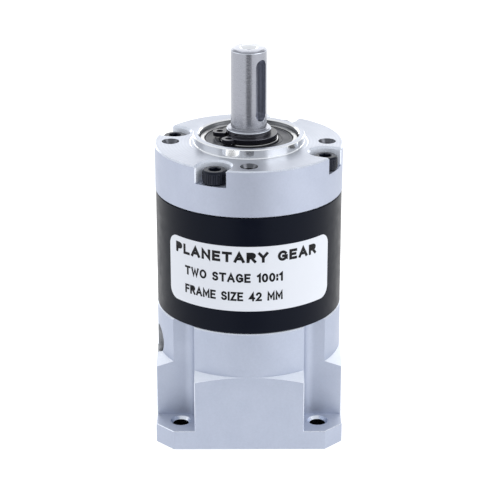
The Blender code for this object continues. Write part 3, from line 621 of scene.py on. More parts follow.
def build_motor_adapter():
    far = CASE_RADIUS + 9.0
    step = 2 * math.pi / BODY_SEGMENTS
    lathe_shape = turned(
        [
            (0, -1.0), (far, -1.0), (far, SHOULDER_Z - (far - BARREL_RADIUS) * SHOULDER_SLOPE),
            (BARREL_RADIUS, SHOULDER_Z), (BARREL_RADIUS, RING_BOTTOM - FIT_GAP - TOP_CHAMFER),
            (BARREL_RADIUS - TOP_CHAMFER, RING_BOTTOM - FIT_GAP), (0, RING_BOTTOM - FIT_GAP),
        ],
        BODY_SEGMENTS,
        phase=step / 2,
    )
    posts = prism(post_outline(), FOOT_TOP - 1.0, RING_BOTTOM + 1.0)
    body = combine(posts, [lathe_shape], "INTERSECT")
    foot = stacked(
        [
            (foot_outline(SIDE_CHAMFER), 0.0), (foot_outline(0.0), SIDE_CHAMFER),
            (foot_outline(0.0), FOOT_TOP - SIDE_CHAMFER), (foot_outline(SIDE_CHAMFER), FOOT_TOP),
        ]
    )
    spigot = cylinder(REGISTER_RADIUS, FOOT_TOP + 1.0, RING_TEETH_BOTTOM - 0.3, BORE_SEGMENTS)
    combine(body, [foot, spigot], "UNION")
    seat = INPUT_BEARING[1] + FIT_GAP
    bearing_top = INPUT_BEARING_Z + INPUT_BEARING[2]
    bore = turned(
        [
            (0, -1.0), (PILOT_RADIUS + 0.5, -1.0), (PILOT_RADIUS + 0.5, 0.0), (PILOT_RADIUS, 0.5),
            (PILOT_RADIUS, PILOT_DEPTH), (CAVITY_RADIUS, PILOT_DEPTH),
            (CAVITY_RADIUS, INPUT_BEARING_Z - 0.65),
            (INPUT_LANDS[1] - 0.1, INPUT_BEARING_Z - 0.65),
            (INPUT_LANDS[1] - 0.1, INPUT_BEARING_Z - FIT_GAP), (seat, INPUT_BEARING_Z - FIT_GAP),
            (seat, bearing_top + FIT_GAP), (seat + 0.6, bearing_top + FIT_GAP),
            (seat + 0.6, bearing_top + 0.95), (seat, bearing_top + 0.95),
            (seat, RING_TEETH_BOTTOM + 1.0), (0, RING_TEETH_BOTTOM + 1.0),
        ],
        BORE_SEGMENTS,
    )
    cutters = [bore]
    for sx in (-1, 1):
        for sy in (-1, 1):
            mouth_z = FOOT_TOP - (MOTOR_HOLE_MOUTH - MOTOR_HOLE_RADIUS)
            hole = [
                (0, -1.0), (MOTOR_HOLE_RADIUS + 0.3, -1.0), (MOTOR_HOLE_RADIUS + 0.3, 0.0),
                (MOTOR_HOLE_RADIUS, 0.3), (MOTOR_HOLE_RADIUS, mouth_z),
                (MOTOR_HOLE_MOUTH, FOOT_TOP), (MOTOR_HOLE_MOUTH, FOOT_TOP + 1.0),
                (0, FOOT_TOP + 1.0),
            ]
            place = (sx * MOTOR_HOLE_OFFSET, sy * MOTOR_HOLE_OFFSET)
            cutters.append(turned(hole, HOLE_SEGMENTS, place))
    for centre in SCREW_CENTRES:
        cutters.append(cylinder(SCREW_HOLE_RADIUS, SCREW_TIP_Z - 1.5, RING_BOTTOM + 1.0, 24, centre))
    access = cylinder(ACCESS_HOLE_RADIUS, -CASE_RADIUS - 1.0, -8.5, HOLE_SEGMENTS)
    cutters.append(turn_to_x(access, CLAMP_SCREW_Y, CLAMP_SCREW_Z))
    combine(body, cutters)

    item = finish(body, "motor_adapter_casting", "case", "case_aluminium", CAST, ["motor_adapter"])

    def choose(middle, normal, nearest, furthest):
        x, y = abs(middle.x), abs(middle.y)
        from_screw = math.hypot(middle.y - CLAMP_SCREW_Y, middle.z - CLAMP_SCREW_Z)
        # The access hole wall takes the darker bored aluminium: painted shade
        if middle.x < 0 and abs(normal.x) < 0.1 and from_screw < ACCESS_HOLE_RADIUS + 0.05:
            return SHADED_BORE_METAL
        in_hole = math.hypot(x - MOTOR_HOLE_OFFSET, y - MOTOR_HOLE_OFFSET) < MOTOR_HOLE_MOUTH + 0.02
        sloped = 0.2 < abs(normal.z) < 0.97
        # Hole walls take the near-black aluminium: painted shade
        if in_hole and furthest - nearest < 2 * MOTOR_HOLE_MOUTH and normal.z < 0.97:
            return MACHINED_EDGE_AND_HIGHLIGHT if sloped else HOLE_SHADE_METAL
        if normal.z > 0.97 and abs(middle.z - FOOT_TOP) < 0.01:
            return FOOT_METAL
        if middle.z < FOOT_TOP + 0.01:
            return MACHINED_EDGE_AND_HIGHLIGHT if sloped and nearest > 16 else None
        # Chamfers take the lighter edge aluminium: a machined edge with a painted highlight
        if middle.z > RING_BOTTOM - 0.4 and sloped and nearest > 20:
            return MACHINED_EDGE_AND_HIGHLIGHT
        # The shoulder facets take the lighter copy of the aluminium: painted light
        if abs(normal.z - SHOULDER_NORMAL_Z) < 0.03 and nearest > 20.5:
            return LIGHTENED_ALUMINIUM
        if abs(normal.z) < 0.1 and min(abs(normal.x), abs(normal.y)) > 0.6:
            return MACHINED_EDGE_AND_HIGHLIGHT if max(x, y) > CASE_RADIUS - 0.2 else None
        return None

    paint_faces(item, [MACHINED_EDGE_AND_HIGHLIGHT, LIGHTENED_ALUMINIUM, FOOT_METAL, HOLE_SHADE_METAL, SHADED_BORE_METAL], choose)


def involute(angle):
    return math.tan(angle) - angle


def half_tooth(teeth, radius, play):
    """Half the angle a tooth takes up at a radius; positive play makes it wider."""
    pitch_radius = MODULE * teeth / 2
    base_radius = pitch_radius * math.cos(PRESSURE_ANGLE)
    local = math.acos(base_radius / max(radius, base_radius))
    middle = math.pi / (2 * teeth) + play / (2 * pitch_radius)
    return middle + involute(PRESSURE_ANGLE) - involute(local)


def toothed_outline(teeth, radii, play, first):
    points = []
    for centre in spread(teeth, first):
        flank = [(radius, half_tooth(teeth, radius, play)) for radius in radii]
        points += [polar(radius, centre - half) for radius, half in flank]
        points += [polar(radius, centre + half) for radius, half in reversed(flank)]
    return points


def build_ring_gear():
    pitch_radius = MODULE * RING_TEETH / 2
    bore = REGISTER_RADIUS + FIT_GAP + 0.05
    inner = pitch_radius - 1.0
    body = turned(
        [
            (RING_GEAR_RADIUS - 0.15, RING_BOTTOM), (RING_GEAR_RADIUS, RING_BOTTOM + 0.15),
            (RING_GEAR_RADIUS, RING_TOP - 0.15), (RING_GEAR_RADIUS - 0.15, RING_TOP),
            (bore, RING_TOP), (bore, RING_TEETH_TOP), (inner, RING_TEETH_TOP),
            (inner, RING_TEETH_BOTTOM), (bore, RING_TEETH_BOTTOM), (bore, RING_BOTTOM),
        ],
        BODY_SEGMENTS,
    )
    radii = (pitch_radius - 0.30, pitch_radius, pitch_radius + DEDENDUM)
    spaces = toothed_outline(RING_TEETH, radii, TOOTH_PLAY, FIRST_PLANET_ANGLE)
    cutters = [prism(spaces, RING_TEETH_BOTTOM - 0.5, RING_TEETH_TOP + 0.5)]
    for centre in SCREW_CENTRES:
        cutters.append(cylinder(SCREW_HOLE_RADIUS, RING_BOTTOM - 1.0, RING_TOP + 1.0, 24, centre))
    combine(body, cutters)
    finish(body, "ring_gear_barrel", "case", "black_anodised", BLACK, ["ring_gear"])


def notch_outline(angle, half_width):
    """Round inwards, straight outwards, and flared where it leaves the rim."""
    leave = math.sqrt(CASE_RADIUS**2 - half_width**2) - TOP_CHAMFER
    local = []
    for step in range(2 * ARC_STEPS + 1):
        u, v = polar(half_width, math.pi / 2 + math.pi * step / (2 * ARC_STEPS))
        local.append((SCREW_CIRCLE + u, v))
    flare = 1.5
    local += [(leave, -half_width), (leave + flare, -half_width - flare)]
    local += [(leave + flare, half_width + flare), (leave, half_width)]
    cos, sin = math.cos(angle), math.sin(angle)
    return [(u * cos - v * sin, u * sin + v * cos) for u, v in local]


def thread_profile(radius, bottom, top):
    """The zigzag of thread crests down the wall of a tapped hole, from bottom to top."""
    points = []
    turns = int((top - bottom) / THREAD_PITCH)
    for turn in range(turns):
        z = bottom + turn * THREAD_PITCH
        points += [(radius - THREAD_DEPTH, z), (radius, z + THREAD_PITCH * 0.5)]
    points.append((radius - THREAD_DEPTH, bottom + turns * THREAD_PITCH))
    return points


def build_output_flange():
    seat = OUTPUT_BEARING[1] + FIT_GAP
    rib = OUTPUT_LANDS[1] + 0.15
    rear_top = REAR_BEARING_Z + OUTPUT_BEARING[2]
    body = turned(
        [
            (0, RING_TEETH_TOP + 0.35), (REGISTER_RADIUS, RING_TEETH_TOP + 0.35),
            (REGISTER_RADIUS, RING_TOP + FIT_GAP), (CASE_RADIUS - TOP_CHAMFER, RING_TOP + FIT_GAP),
            (CASE_RADIUS, RING_TOP + FIT_GAP + TOP_CHAMFER),
            (CASE_RADIUS, FLANGE_TOP - TOP_CHAMFER), (CASE_RADIUS - TOP_CHAMFER, FLANGE_TOP),
            (BOSS_RADIUS + 0.75, FLANGE_TOP), (BOSS_RADIUS + 0.55, FLANGE_TOP - 0.12),
            (BOSS_RADIUS + 0.05, FLANGE_TOP - 0.12), (BOSS_RADIUS, FLANGE_TOP + 0.15),
            (BOSS_RADIUS, BOSS_TOP - 0.2), (BOSS_RADIUS - 0.2, BOSS_TOP), (0, BOSS_TOP),
        ],
        BODY_SEGMENTS,
        phase=FIRST_SCREW_ANGLE,
    )
    bore = turned(
        [
            (0, RING_TEETH_TOP - 1.0), (seat, RING_TEETH_TOP - 1.0), (seat, rear_top + FIT_GAP),
            (rib, rear_top + FIT_GAP), (rib, FRONT_BEARING_Z - FIT_GAP),
            (seat, FRONT_BEARING_Z - FIT_GAP), (seat, BOSS_TOP - 0.3), (seat + 0.3, BOSS_TOP),
            (seat + 0.3, BOSS_TOP + 1.0), (0, BOSS_TOP + 1.0),
        ],
        BORE_SEGMENTS,
    )
    cutters = [bore]
    for angle, centre in zip(spread(4, FIRST_SCREW_ANGLE), SCREW_CENTRES):
        wide, narrow = NOTCH_HALF_WIDTH + NOTCH_CHAMFER, NOTCH_HALF_WIDTH
        layers = [(narrow, NOTCH_FLOOR_Z), (narrow, FLANGE_TOP - NOTCH_CHAMFER)]
        layers += [(wide, FLANGE_TOP), (wide, FLANGE_TOP + 1.0)]
        cutters.append(stacked([(notch_outline(angle, half), z) for half, z in layers]))
        cutters.append(cylinder(SCREW_HOLE_RADIUS, RING_TOP - 1.0, NOTCH_FLOOR_Z + 1.0, 24, centre))
    tapped_top = FLANGE_TOP - (TAPPED_MOUTH - TAPPED_RADIUS + THREAD_DEPTH)
    tapped_hole = [(0, TAPPED_BOTTOM_Z)]
    tapped_hole += thread_profile(TAPPED_RADIUS, TAPPED_BOTTOM_Z + 0.8, tapped_top)
    tapped_hole += [
        (TAPPED_MOUTH, FLANGE_TOP), (TAPPED_MOUTH, FLANGE_TOP + 1.0), (0, FLANGE_TOP + 1.0),
    ]
    for centre in TAPPED_CENTRES:
        cutters.append(turned(tapped_hole, HOLE_SEGMENTS, centre))
    combine(body, cutters)
    item = finish(body, "output_flange_turned", "case", "satin_aluminium", SATIN, ["output_flange"])

    def choose(middle, normal, nearest, furthest):
        tapped = min(math.hypot(middle.x - x, middle.y - y) for x, y in TAPPED_CENTRES)
        sloped = 0.2 < abs(normal.z) < 0.95
        if furthest < BOSS_RADIUS + 0.8:
            # The bore wall takes the darker bored aluminium: painted shade
            if furthest < BOSS_RADIUS - 0.5 and normal.z < 0.5:
                return SHADED_BORE_METAL
            if middle.z < FLANGE_TOP - 0.3:
                return None
            return FACED if normal.z > 0.95 else TURNED
        # Tapped hole walls take the near-black aluminium: painted shade
        if tapped < TAPPED_MOUTH and furthest - nearest < 2 * TAPPED_MOUTH and normal.z < 0.97:
            return MACHINED_EDGE_AND_HIGHLIGHT if middle.z > FLANGE_TOP - 0.2 else HOLE_SHADE_METAL
        # Chamfers take the lighter edge aluminium: a machined edge with a painted highlight
        if sloped and nearest > 14.0 and middle.z > FLANGE_TOP - 0.5:
            return MACHINED_EDGE_AND_HIGHLIGHT
        if sloped and nearest > 20.0:
            return MACHINED_EDGE_AND_HIGHLIGHT
        if normal.z > 0.95 and middle.z > FLANGE_TOP - 0.05:
            return FACED
        # The notch walls take the lighter copy of the aluminium: painted light
        if nearest > 14.0 and furthest < CASE_RADIUS - 0.1 and NOTCH_FLOOR_Z < middle.z:
            return LIGHTENED_ALUMINIUM
        outward = (normal.x * middle.x + normal.y * middle.y) / math.hypot(middle.x, middle.y)
        if nearest > 20.3 and abs(normal.z) < 0.1 and 0.3 < outward < 0.95:
            return MACHINED_EDGE_AND_HIGHLIGHT
        return None

    finishes = [TURNED, SHADED_BORE_METAL, FACED, HOLE_SHADE_METAL, MACHINED_EDGE_AND_HIGHLIGHT, LIGHTENED_ALUMINIUM]
    paint_faces(item, finishes, choose)


def hexagon(across_flats):
    corner = across_flats / math.sqrt(3)
    return [polar(corner, angle) for angle in spread(6)]


def socket_head(head_height, length):
    """A socket head screw pointing down, its head seated on z = 0, with a knurled side."""
    head_radius, shank_radius, half_socket = SCREW_HEAD_RADIUS, SCREW_RADIUS, SCREW_SOCKET / 2
    outline = []
    for index, angle in enumerate(spread(4 * KNURLS)):
        outline.append(polar(head_radius - (0.0, 0.0, 0.11, 0.11)[index % 4], angle))
    body = prism(outline, 0.0, head_height)
    envelope = turned(
        [
            (0, -0.5), (head_radius - 0.35, -0.5), (head_radius - 0.35, 0.0),
            (head_radius - 0.02, 0.35), (head_radius - 0.02, head_height - 0.55),
            (head_radius - 0.13, head_height - 0.32), (head_radius - 0.45, head_height - 0.03),
            (head_radius - 0.6, head_height), (0, head_height + 0.001),
        ],
        HOLE_SEGMENTS,
    )
    body = combine(body, [envelope], "INTERSECT")
    shank = turned(
        [
            (0, -length), (shank_radius - 0.3, -length), (shank_radius, -length + 0.3),
            (shank_radius, 0.3), (0, 0.3),
        ],
        24,
    )
    combine(body, [shank], "UNION")
    floor = head_height - SCREW_SOCKET_DEPTH
    recess = prism(hexagon(SCREW_SOCKET), floor, head_height + 1.0)
    cone = turned(
        [
            (0, floor - 0.6), (half_socket, floor + 0.05), (half_socket, floor + 0.2),
            (0, floor + 0.2),
        ],
        24,
    )
    lead_in = turned(
        [
            (0, head_height - 0.28), (half_socket - 0.05, head_height - 0.28),
            (half_socket + 0.25, head_height + 0.02), (0, head_height + 0.02),
        ],
        HOLE_SEGMENTS,
    )
    return combine(body, [recess, cone, lead_in])


def build_flange_screws():
    for number, centre in enumerate(SCREW_CENTRES, 1):
        seat = NOTCH_FLOOR_Z + FIT_GAP
        screw = socket_head(SCREW_HEAD_HEIGHT, seat - SCREW_TIP_Z)
        turn = Matrix.Rotation(0.35 * number, 4, "Z")
        screw.data.transform(Matrix.Translation((centre[0], centre[1], seat)) @ turn)
        node = f"flange_screw_{number}"
        # Screw edge bevels take the lighter oxide: wear with a painted glint
        edge = dict(width=SCREW_EDGE_BREAK, angle=28.0, edge_material=OXIDE_WEAR_AND_GLINT)
        finish(screw, f"{node}_knurled", "case", "black_oxide", OXIDE, [node], edge=edge)


# ---------------------------------------------------------------- nameplate


def build_nameplate():
    """A curved film with rounded corners, lying on the ring gear."""
    end_arc = PLATE_CORNER / PLATE_RADIUS
    angles = [-PLATE_HALF_ANGLE + end_arc * (1 - math.cos(math.radians(9 * t))) for t in range(11)]
    steps = 60
    straight = PLATE_HALF_ANGLE - end_arc
    angles += [-straight + 2 * straight * step / steps for step in range(1, steps)]
    angles += [-angle for angle in reversed(angles[:11])]
    bm = bmesh.new()
    stations = []
    for angle in angles:
        inset = max(0.0, abs(angle) - straight) / end_arc
        drop = PLATE_CORNER * (1 - math.sqrt(max(0.0, 1 - inset * inset)))
        station = []
        for radius, rim in ((RING_GEAR_RADIUS + 0.005, 0.0), (PLATE_RADIUS, 0.03)):
            x, y = polar(radius, angle - math.pi / 2)
            station.append(bm.verts.new((x, y, PLATE_BOTTOM + drop + rim)))
            station.append(bm.verts.new((x, y, PLATE_TOP - drop - rim)))
        stations.append(station)
    for one, two in zip(stations, stations[1:]):
        bm.faces.new((one[0], two[0], two[2], one[2]))
        bm.faces.new((one[1], one[3], two[3], two[1]))
        bm.faces.new((one[0], one[1], two[1], two[0]))
        bm.faces.new((one[2], two[2], two[3], one[3]))
    for station in (stations[0], stations[-1]):
        bm.faces.new((station[0], station[1], station[3], station[2]))
    finish(to_object(bm), "nameplate_film", "case", "label_film", FILM, ["nameplate"])


def arc(x, y, radius_x, radius_y, start, end, steps=10):
    angles = [math.radians(start + (end - start) * step / steps) for step in range(steps + 1)]
    return [(x + radius_x * math.cos(a), y + radius_y * math.sin(a)) for a in angles]


# Capitals and digits as strokes: width, then polylines in a box one unit high.
GLYPHS = {
    " ": (0.32, []),
    "A": (0.80, [[(0.0, 0.0), (0.40, 1.0), (0.80, 0.0)], [(0.14, 0.32), (0.66, 0.32)]]),
    "E": (0.58, [[(0.58, 1.0), (0.0, 1.0), (0.0, 0.0), (0.58, 0.0)], [(0.0, 0.52), (0.50, 0.52)]]),
    "F": (0.56, [[(0.56, 1.0), (0.0, 1.0), (0.0, 0.0)], [(0.0, 0.52), (0.48, 0.52)]]),
    "G": (
        0.76,
        [arc(0.38, 0.5, 0.38, 0.5, 42, 330, 18) + [(0.76, 0.22), (0.76, 0.46), (0.44, 0.46)]],
    ),
    "I": (0.0, [[(0.0, 0.0), (0.0, 1.0)]]),
    "L": (0.54, [[(0.0, 1.0), (0.0, 0.0), (0.54, 0.0)]]),
    "N": (0.70, [[(0.0, 0.0), (0.0, 1.0), (0.70, 0.0), (0.70, 1.0)]]),
    "O": (0.80, [arc(0.40, 0.5, 0.40, 0.5, 0, 360, 24)]),
    "P": (
        0.62,
        [[(0.0, 0.0), (0.0, 1.0), (0.36, 1.0)] + arc(0.36, 0.73, 0.26, 0.27, 90, -90)
         + [(0.0, 0.46)]],
    ),
    "R": (
        0.68,
        [
            [(0.0, 0.0), (0.0, 1.0), (0.38, 1.0)] + arc(0.38, 0.74, 0.26, 0.26, 90, -90)
            + [(0.0, 0.48)],
            [(0.36, 0.48), (0.68, 0.0)],
        ],
    ),
    "M": (0.84, [[(0.0, 0.0), (0.0, 1.0), (0.42, 0.25), (0.84, 1.0), (0.84, 0.0)]]),
    "S": (
        0.62,
        [arc(0.31, 0.76, 0.28, 0.24, 25, 262) + arc(0.31, 0.26, 0.31, 0.26, 82, -155)],
    ),
    "Z": (0.62, [[(0.02, 1.0), (0.60, 1.0), (0.0, 0.0), (0.62, 0.0)]]),
    "T": (0.72, [[(0.0, 1.0), (0.72, 1.0)], [(0.36, 1.0), (0.36, 0.0)]]),
    "W": (1.0, [[(0.0, 1.0), (0.25, 0.0), (0.50, 0.85), (0.75, 0.0), (1.0, 1.0)]]),
    "Y": (0.74, [[(0.0, 1.0), (0.37, 0.48), (0.74, 1.0)], [(0.37, 0.48), (0.37, 0.0)]]),
    "0": (0.60, [arc(0.30, 0.5, 0.30, 0.5, 0, 360, 20)]),
    "1": (0.26, [[(0.0, 0.80), (0.26, 1.0), (0.26, 0.0)]]),
    "2": (0.58, [arc(0.29, 0.72, 0.28, 0.28, 165, -35, 12) + [(0.0, 0.0), (0.60, 0.0)]]),
    "4": (0.64, [[(0.48, 0.0), (0.48, 1.0), (0.0, 0.28), (0.64, 0.28)]]),
    ":": (0.0, [[(0.0, 0.10), (0.0, 0.24)], [(0.0, 0.62), (0.0, 0.76)]]),
}


def ribbon(points, width):
    """The outline of one stroke of even width with mitred bends and square ends."""
    closed = math.dist(points[0], points[-1]) < 1e-6
    spine = [Vector(points[0])]
    for point in points[1:-1] if closed else points[1:]:
        if (Vector(point) - spine[-1]).length > 1e-4:
            spine.append(Vector(point))
    count = len(spine)
    left, right = [], []
    for index, here in enumerate(spine):
        after = spine[(index + 1) % count] if closed or index + 1 < count else None
        before = spine[index - 1] if closed or index else None
        ahead = (after - here).normalized() if after else (here - before).normalized()
        behind = (here - before).normalized() if before else ahead
        if not closed and not before:
            here = here - ahead * width / 2
        if not closed and not after:
            here = here + behind * width / 2
        side = Vector((-behind.y - ahead.y, behind.x + ahead.x)).normalized()
        reach = width / 2 / max(0.45, side.dot(Vector((-ahead.y, ahead.x))))
        left.append(here + side * reach)
        right.append(here - side * reach)
    return left, right, closed


def stroke_solid(points, width):
    left, right, closed = ribbon(points, width)
    low, high = 0.0, 1.0
    bm = bmesh.new()
    rows = []
    for one, two in zip(left, right):
        corners = [(one, low), (two, low), (two, high), (one, high)]
        rows.append([bm.verts.new((point.x, point.y, z)) for point, z in corners])
    pairs = list(zip(rows, rows[1:]))
    if closed:
        pairs.append((rows[-1], rows[0]))
    for row, following in pairs:
        for index in range(4):
            after = (index + 1) % 4
            bm.faces.new((row[index], row[after], following[after], following[index]))
    if not closed:
        bm.faces.new(rows[0])
        bm.faces.new(rows[-1])
    return to_object(bm)


def build_print(number, words, left, width, base_z, cap_height, weight):
    """One printed line: strokes joined into flat letters, then laid round the film."""
    gap = 0.2 + weight
    natural = sum(GLYPHS[letter][0] + gap for letter in words) - gap
    stretch = (width - weight * cap_height) / (natural * cap_height)
    strokes, pen = [], weight / 2
    for letter in words:
        advance, lines = GLYPHS[letter]
        for line in lines:
            points = []
            for x, y in line:
                flat_x = left + weight * cap_height / 2 + (pen - weight / 2 + x) * cap_height * stretch
                points.append((flat_x, base_z + cap_height * (weight / 2 + y * (1 - weight))))
            strokes.append(stroke_solid(points, weight * cap_height))
        pen += advance + gap
    body = strokes[0]
    body = combine(body, strokes[1:], "UNION")
    bm = bmesh.new()
    bm.from_mesh(body.data)
    cut = left - 1.0
    while cut < left + width + 1.0:
        parts = bm.verts[:] + bm.edges[:] + bm.faces[:]
        bmesh.ops.bisect_plane(bm, geom=parts, plane_co=(cut, 0, 0), plane_no=(1, 0, 0))
        cut += PRINT_STRIP
    for vertex in bm.verts:
        radius = PRINT_RADIUS - PRINT_THICKNESS * (1.0 - vertex.co.z)
        x, y = polar(radius, vertex.co.x / PLATE_RADIUS - math.pi / 2)
        vertex.co = (x, y, vertex.co.y)
    bpy.data.objects.remove(body, do_unlink=True)
    finish(to_object(bm), f"nameplate_print_{number}", "case", "label_film", INK)


# ================================================================ bearings and shaft


def build_front_bearing():
    bottom, top = FRONT_BEARING_Z, FRONT_BEARING_Z + OUTPUT_BEARING[2]
    middle, ball = (bottom + top) / 2, OUTPUT_BEARING[3]
    half_open = math.radians(42.0)

    def groove(land, side):
        points = []
        for step in range(9):
            angle = -half_open + 2 * half_open * step / 8
            depth = ball * (math.cos(angle) - math.cos(half_open))
            points.append((land + side * depth, middle + ball * math.sin(angle)))
        return points

    outer, inner = OUTPUT_BEARING[1], OUTPUT_BEARING[0] + 0.03
    outer_ring = turned(
        [(outer, bottom + 0.3), (outer, top - 0.3), (outer - 0.3, top), (OUTPUT_LANDS[1] + 0.12, top)]
        + [(OUTPUT_LANDS[1], top - 0.15)]
        + groove(OUTPUT_LANDS[1], 1)[::-1]
        + [(OUTPUT_LANDS[1], bottom), (outer - 0.3, bottom)],
        BORE_SEGMENTS,
    )
    finish(
        outer_ring, "front_bearing_outer_race", "case", "bearing_steel", RACE_STEEL,
        ["front_bearing_outer_ring"],
    )
    inner_ring = turned(
        [(inner, bottom + 0.2), (inner + 0.2, bottom), (OUTPUT_LANDS[0], bottom)]
        + groove(OUTPUT_LANDS[0], -1)
        + [(OUTPUT_LANDS[0], top - 0.1), (OUTPUT_LANDS[0] - 0.1, top), (inner + 0.2, top)]
        + [(inner, top - 0.2)],
        SHAFT_SEGMENTS,
    )
    finish(
        inner_ring, "front_bearing_inner_race", "output", "bearing_steel", RACE_STEEL,
        ["front_bearing_inner_ring"],
    )
    low, high = OUTPUT_LANDS[0] + 0.12, OUTPUT_LANDS[1] - 0.08
    seal = turned(
        rounded(
            [
                (low, top - 0.7), (high, top - 0.7), (high, top - 0.32), (high - 0.2, top - 0.2),
                (high - 0.55, top - 0.2), (high - 0.65, top - 0.32), (low + 0.95, top - 0.32),
                (low + 0.85, top - 0.2), (low + 0.6, top - 0.2), (low + 0.45, top - 0.38),
                (low, top - 0.45),
            ],
            0.06,
        ),
        BORE_SEGMENTS,
    )
    finish(seal, "front_bearing_seal_moulded", "case", "seal_rubber", RUBBER, ["front_bearing_seal"])


def build_ball_cages():
    """Round balls and the ring that spaces them, for each bearing."""
    for prefix, body, bearing, lands, bottom in (
        ("front", "front_cage", OUTPUT_BEARING, OUTPUT_LANDS, FRONT_BEARING_Z),
        ("rear", "rear_cage", OUTPUT_BEARING, OUTPUT_LANDS, REAR_BEARING_Z),
        ("input", "input_cage", INPUT_BEARING, INPUT_LANDS, INPUT_BEARING_Z),
    ):
        _, _, width, ball, count = bearing
        pitch, middle = (lands[0] + lands[1]) / 2, bottom + width / 2
        half_wall, half_height = (lands[1] - lands[0]) * 0.2, ball * 0.4
        cage = turned(
            [
                (pitch - half_wall, middle - half_height),
                (pitch + half_wall, middle - half_height),
                (pitch + half_wall, middle + half_height),
                (pitch - half_wall, middle + half_height),
            ],
            SHAFT_SEGMENTS,
        )
        node = f"{prefix}_bearing_ball_cage"
        finish(cage, f"{prefix}_cage_ring", body, "cage_polymer", CAGE, [node])
        size = ball * 0.93
        half_circle = [(0, middle - size)]
        for step in range(1, 12):
            r, z = polar(size, math.pi * (step / 12 - 0.5))
            half_circle.append((r, middle + z))
        half_circle.append((0, middle + size))
        balls = [turned(half_circle, 20, polar(pitch, angle)) for angle in spread(count, 0.05)]
        finish(gathered(balls), f"{prefix}_balls", body, "bearing_steel", RACE_STEEL, smooth=60.0)


def build_shaft_circlip():
    """The snap ring on the output shaft: an open band with two eared ends."""
    inner = CIRCLIP_GROOVE_RADIUS + 0.03
    steps = 72
    outline_outer, outline_inner = [], []
    for step in range(steps + 1):
        angle = CIRCLIP_GAP_ANGLE + EAR_LEAN + (2 * math.pi - 2 * EAR_LEAN) * step / steps
        outline_outer.append(polar(CIRCLIP_RADIUS, angle))
        outline_inner.append(polar(inner, angle))
    ring = prism(outline_outer + outline_inner[::-1], CIRCLIP_Z, CIRCLIP_Z + CIRCLIP_THICKNESS)
    ears, holes = [], []
    for side in (-1, 1):
        angle = CIRCLIP_GAP_ANGLE + side * EAR_LEAN
        ear_outline = [(EAR_ROOT, -EAR_HALF_WIDTH)]
        for step in range(ARC_STEPS + 1):
            bow = math.radians(-90 + 180 * step / ARC_STEPS)
            x = EAR_TIP[0] + EAR_TIP[1] * math.cos(bow)
            ear_outline.append((x, EAR_HALF_WIDTH * math.sin(bow)))
        ear_outline.append((EAR_ROOT, EAR_HALF_WIDTH))
        ear = prism(ear_outline, CIRCLIP_Z, CIRCLIP_Z + CIRCLIP_THICKNESS)
        ear.data.transform(Matrix.Rotation(angle, 4, "Z"))
        ears.append(ear)
        centre = polar(EAR_HOLE_CIRCLE, angle)
        holes.append(cylinder(EAR_HOLE_RADIUS, CIRCLIP_Z - 1.0, CIRCLIP_Z + 2.0, 24, centre))
    combine(ring, ears, "UNION")
    combine(ring, holes)
    # The bevels take the lighter steel: stamped edge with a painted glint
    edge = dict(width=CIRCLIP_EDGE_BREAK, edge_material=STAMPED_EDGE_AND_GLINT)
    names = ("shaft_circlip_stamped", "output", "spring_steel", SPRING, ["shaft_circlip"])
    finish(ring, *names, edge=edge)


def keyway_tool():
    half = KEYWAY_WIDTH / 2
    outline = []
    for centre_z, first in ((KEYWAY_TOP_Z - half, 0.0), (KEYWAY_BOTTOM_Z + half, math.pi)):
        for step in range(2 * ARC_STEPS + 1):
            angle = first + math.pi * step / (2 * ARC_STEPS)
            outline.append((centre_z + half * math.sin(angle), half * math.cos(angle)))
    keyway = prism(outline, KEYWAY_FLOOR, SHAFT_RADIUS + 1.0)
    upright = Matrix(((0, 0, 1, 0), (0, 1, 0, 0), (1, 0, 0, 0), (0, 0, 0, 1)))
    keyway.data.transform(Matrix.Rotation(KEYWAY_ANGLE, 4, "Z") @ upright)
    keyway.data.flip_normals()
    return keyway


